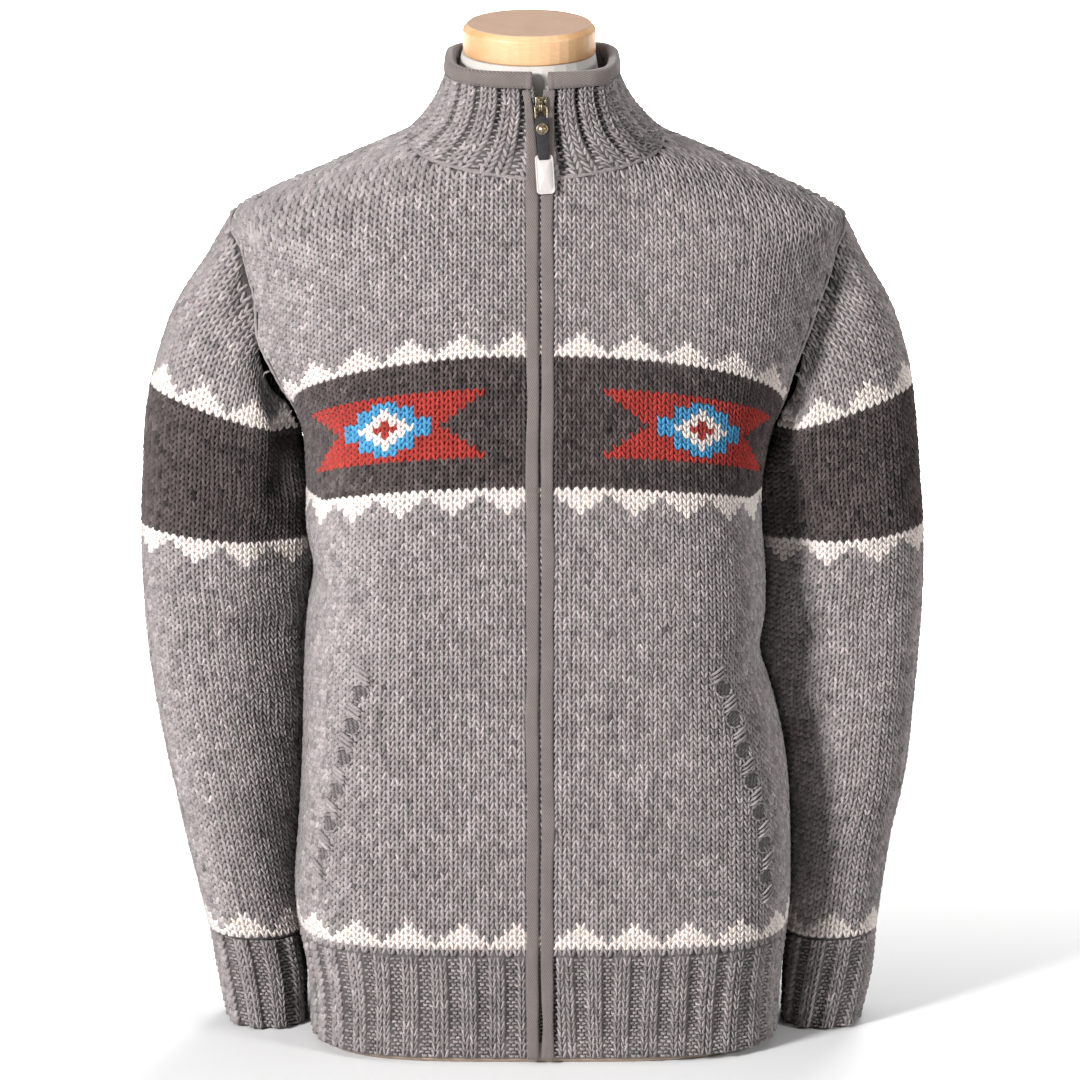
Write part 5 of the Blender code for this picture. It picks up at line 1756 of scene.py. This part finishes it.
def pocket_yarns(hand, side, seed):
    """Openwork along a pocket: a rim of yarn round each gap, a net behind it and three strands
    between two gaps."""
    chance = np.random.default_rng(seed)
    lengths, tones = [], []
    centres = POCKET_PLACES[hand] * [1, ROW_STEP]
    wide, tall = GAP_HALF[0] + 0.0008, GAP_HALF[1] + 0.0010
    for across, along in (centres[:-1] + centres[1:]) / 2:
        for turn in np.arange(9) * 2 * math.pi / 9 + 0.3:
            angles = turn + np.array([-0.55, -0.20, 0.20, 0.55])
            places = np.stack([across + wide * np.cos(angles) * 1.06, along + tall * np.sin(angles)], 1)
            lengths.append(strand(places.tolist(), 0.0010, 0.0002, 0.0012, 0.0016))
            tones.append(0.92 + 0.10 * chance.normal())
        # The net behind each gap: its yarn painted dark, about 0.56 of the grey, as shade inside the gap.
        for step in (-0.0062, -0.0031, 0.0, 0.0031, 0.0062):
            for near in (-0.0042, 0.0, 0.0042):
                x, y = across + hand * 0.2 * step + near, along + step
                lengths.append(strand([(x + hand * dx, y + dy) for dx, dy in (
                    (-0.0026, -0.0028), (-0.0010, -0.0011), (0.0010, 0.0011), (0.0026, 0.0028))],
                    0.0, -0.0006, 0.0010, 0.0011))
                tones.append(0.56 + 0.07 * chance.normal())
    for across, along in centres:
        for step in (-0.0036, 0.0, 0.0036):
            x, y = across + chance.normal(0, 0.0003), along + step + chance.normal(0, 0.0003)
            lengths.append(strand([(x + hand * dx, y + dy) for dx, dy in (
                (-0.0098, -0.0056), (-0.00343, -0.00224), (0.00343, 0.00224), (0.0098, 0.0056))],
                0.0027, 0.0004, 0.0015, 0.0020))
            tones.append(1.0 + 0.12 * chance.normal())
    mesh, which = yarn_shape("pocket", lengths)
    co = corners(mesh)
    places, _ = FRONT.at(co[:, 0], co[:, 1] / ROW_STEP, co[:, 2])
    note(mesh, "lay", co * LAY + np.outer(which, [LAY_APART, 0, 0]))
    set_corners(mesh, places)
    paint(mesh, "yarn", np.clip(GREY * np.array(tones)[which][:, None], 0.01, 0.9))
    shade(mesh)
    trim("pocket_openwork_" + side, mesh, WOOL, "pocket_" + side)


def ridge(name, middle, away, across, size, tone):
    """A soft round ridge along a line of middles."""
    turn = np.arange(8)[:, None] * math.pi / 4
    ring = np.cos(turn) * away[:, None] + np.sin(turn) * across[:, None]
    mesh = closed_length(middle[:, None] + size[:, None, None] * ring)
    one_grey(mesh, tone)
    piece(name, mesh, WOOL)


def armhole_seam(hand, side):
    """The raised seam where the sleeve is joined to the body."""
    edge = armhole_edge(hand, np.linspace(-2.75, 2.75, 150))
    away = unit(edge - np.array([hand * 0.10, 0.004, 0.56]))
    across = np.cross(unit(np.gradient(edge, axis=0)), away)
    k = np.arange(len(edge))
    size = 0.0014 * (1 + 0.20 * np.sin(k * 2.1)) * np.minimum(1.0, 0.4 + np.minimum(k, k[::-1]) / 8)
    ridge("armhole_seam_" + side, edge - away * 0.0006, away, across, size, 0.9)


def collar_seam():
    """The soft ridge where the collar is joined to the body."""
    first, last = collar_turn(1, 0.0), 4 - collar_turn(-1, 0.0)
    base = collar(first + (last - first) * np.linspace(0.002, 0.998, 260), 0.012)
    run = unit(np.gradient(base, axis=0))
    away = unit(np.cross(run, np.array([0, 0, 1.0])))
    if (away * (base - [NECK_X, NECK_Y, 0.7])).sum(1).mean() < 0:
        away = -away
    k = np.arange(len(base))
    size = 0.0016 * (1 + 0.22 * np.sin(k * 1.9) + 0.12 * np.sin(k * 0.37))
    middle = base - away * 0.0008 - [0, 0, 0.0014]
    ridge("collar_seam", middle, away, np.cross(run, away), size, 0.80)


for hand, side in ((-1, "left"), (1, "right")):
    pocket_yarns(hand, side, 301 + hand)
    armhole_seam(hand, side)
collar_seam()


# ---------------------------------------------------------------- what stays as the solids are

for node, look in (("tape_left", TAPE), ("tape_right", TAPE), ("form_base", BOARD), ("neck_cap", MAPLE),
                   ("form_torso", JERSEY)):
    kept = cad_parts[node].data.materials
    kept.clear()
    kept.append(look)


# ---------------------------------------------------------------- floor, light, camera

def stage():
    mesh, i, j = flat_grid(60, 60)
    set_corners(mesh, np.stack([(i - 30) / 30 * 14.0, (j - 30) / 30 * 14.0, np.full(len(i), -0.0005)], 1))
    shade(mesh)
    look, _, surface = nodes_of("pale_floor")
    tune(surface, {"Base Color": (0.76, 0.76, 0.76, 1), "Roughness": 0.7})
    floor = bpy.data.objects.new("floor", mesh)
    bpy.context.scene.collection.objects.link(floor)
    mesh.materials.append(look)


def turn_to(obj, place, target):
    obj.location = place
    obj.rotation_euler = (Vector(target) - Vector(place)).to_track_quat("-Z", "Y").to_euler()
    bpy.context.scene.collection.objects.link(obj)


def lamp(name, place, aim, size, power, spread=180.0):
    data = bpy.data.lights.new(name, "AREA")
    data.shape = "RECTANGLE"
    data.size, data.size_y = size
    data.energy = power
    data.spread = math.radians(spread)
    turn_to(bpy.data.objects.new(name, data), place, aim)


def camera():
    distance, rise, target, width = 9.0, math.radians(15.3), 0.386, 0.837
    data = bpy.data.cameras.new("camera")
    data.lens = 36.0 * distance / width
    data.sensor_width = 36.0
    data.clip_end = 60
    obj = bpy.data.objects.new("camera", data)
    turn_to(obj, (0, -distance * math.cos(rise), target + distance * math.sin(rise)), (0, 0, target))
    bpy.context.scene.camera = obj


stage()
lamp("key", (-3.5, -3.65, 2.5), (0, 0, 0.45), (1.1, 1.1), 482)
lamp("fill", (4.1, -2.9, 2.3), (0, 0, 0.45), (1.1, 1.1), 135)
lamp("rear", (1.4, 4.6, 3.0), (0, 0, 0.35), (2.0, 1.2), 150)
lamp("top", (0, 0.1, 3.2), (0, 0.0, 0.4), (2.0, 2.0), 32)
lamp("backdrop", (0, 2.9, 3.4), (0, 3.2, 0), (5.0, 2.5), 420, 80)
world = bpy.data.worlds.new("studio")
bpy.context.scene.world = world
world.use_nodes = True
world.node_tree.nodes["Background"].inputs[0].default_value = (1, 1, 1, 1)
world.node_tree.nodes["Background"].inputs[1].default_value = 0.025
bpy.context.scene.view_settings.view_transform = "Standard"
camera()
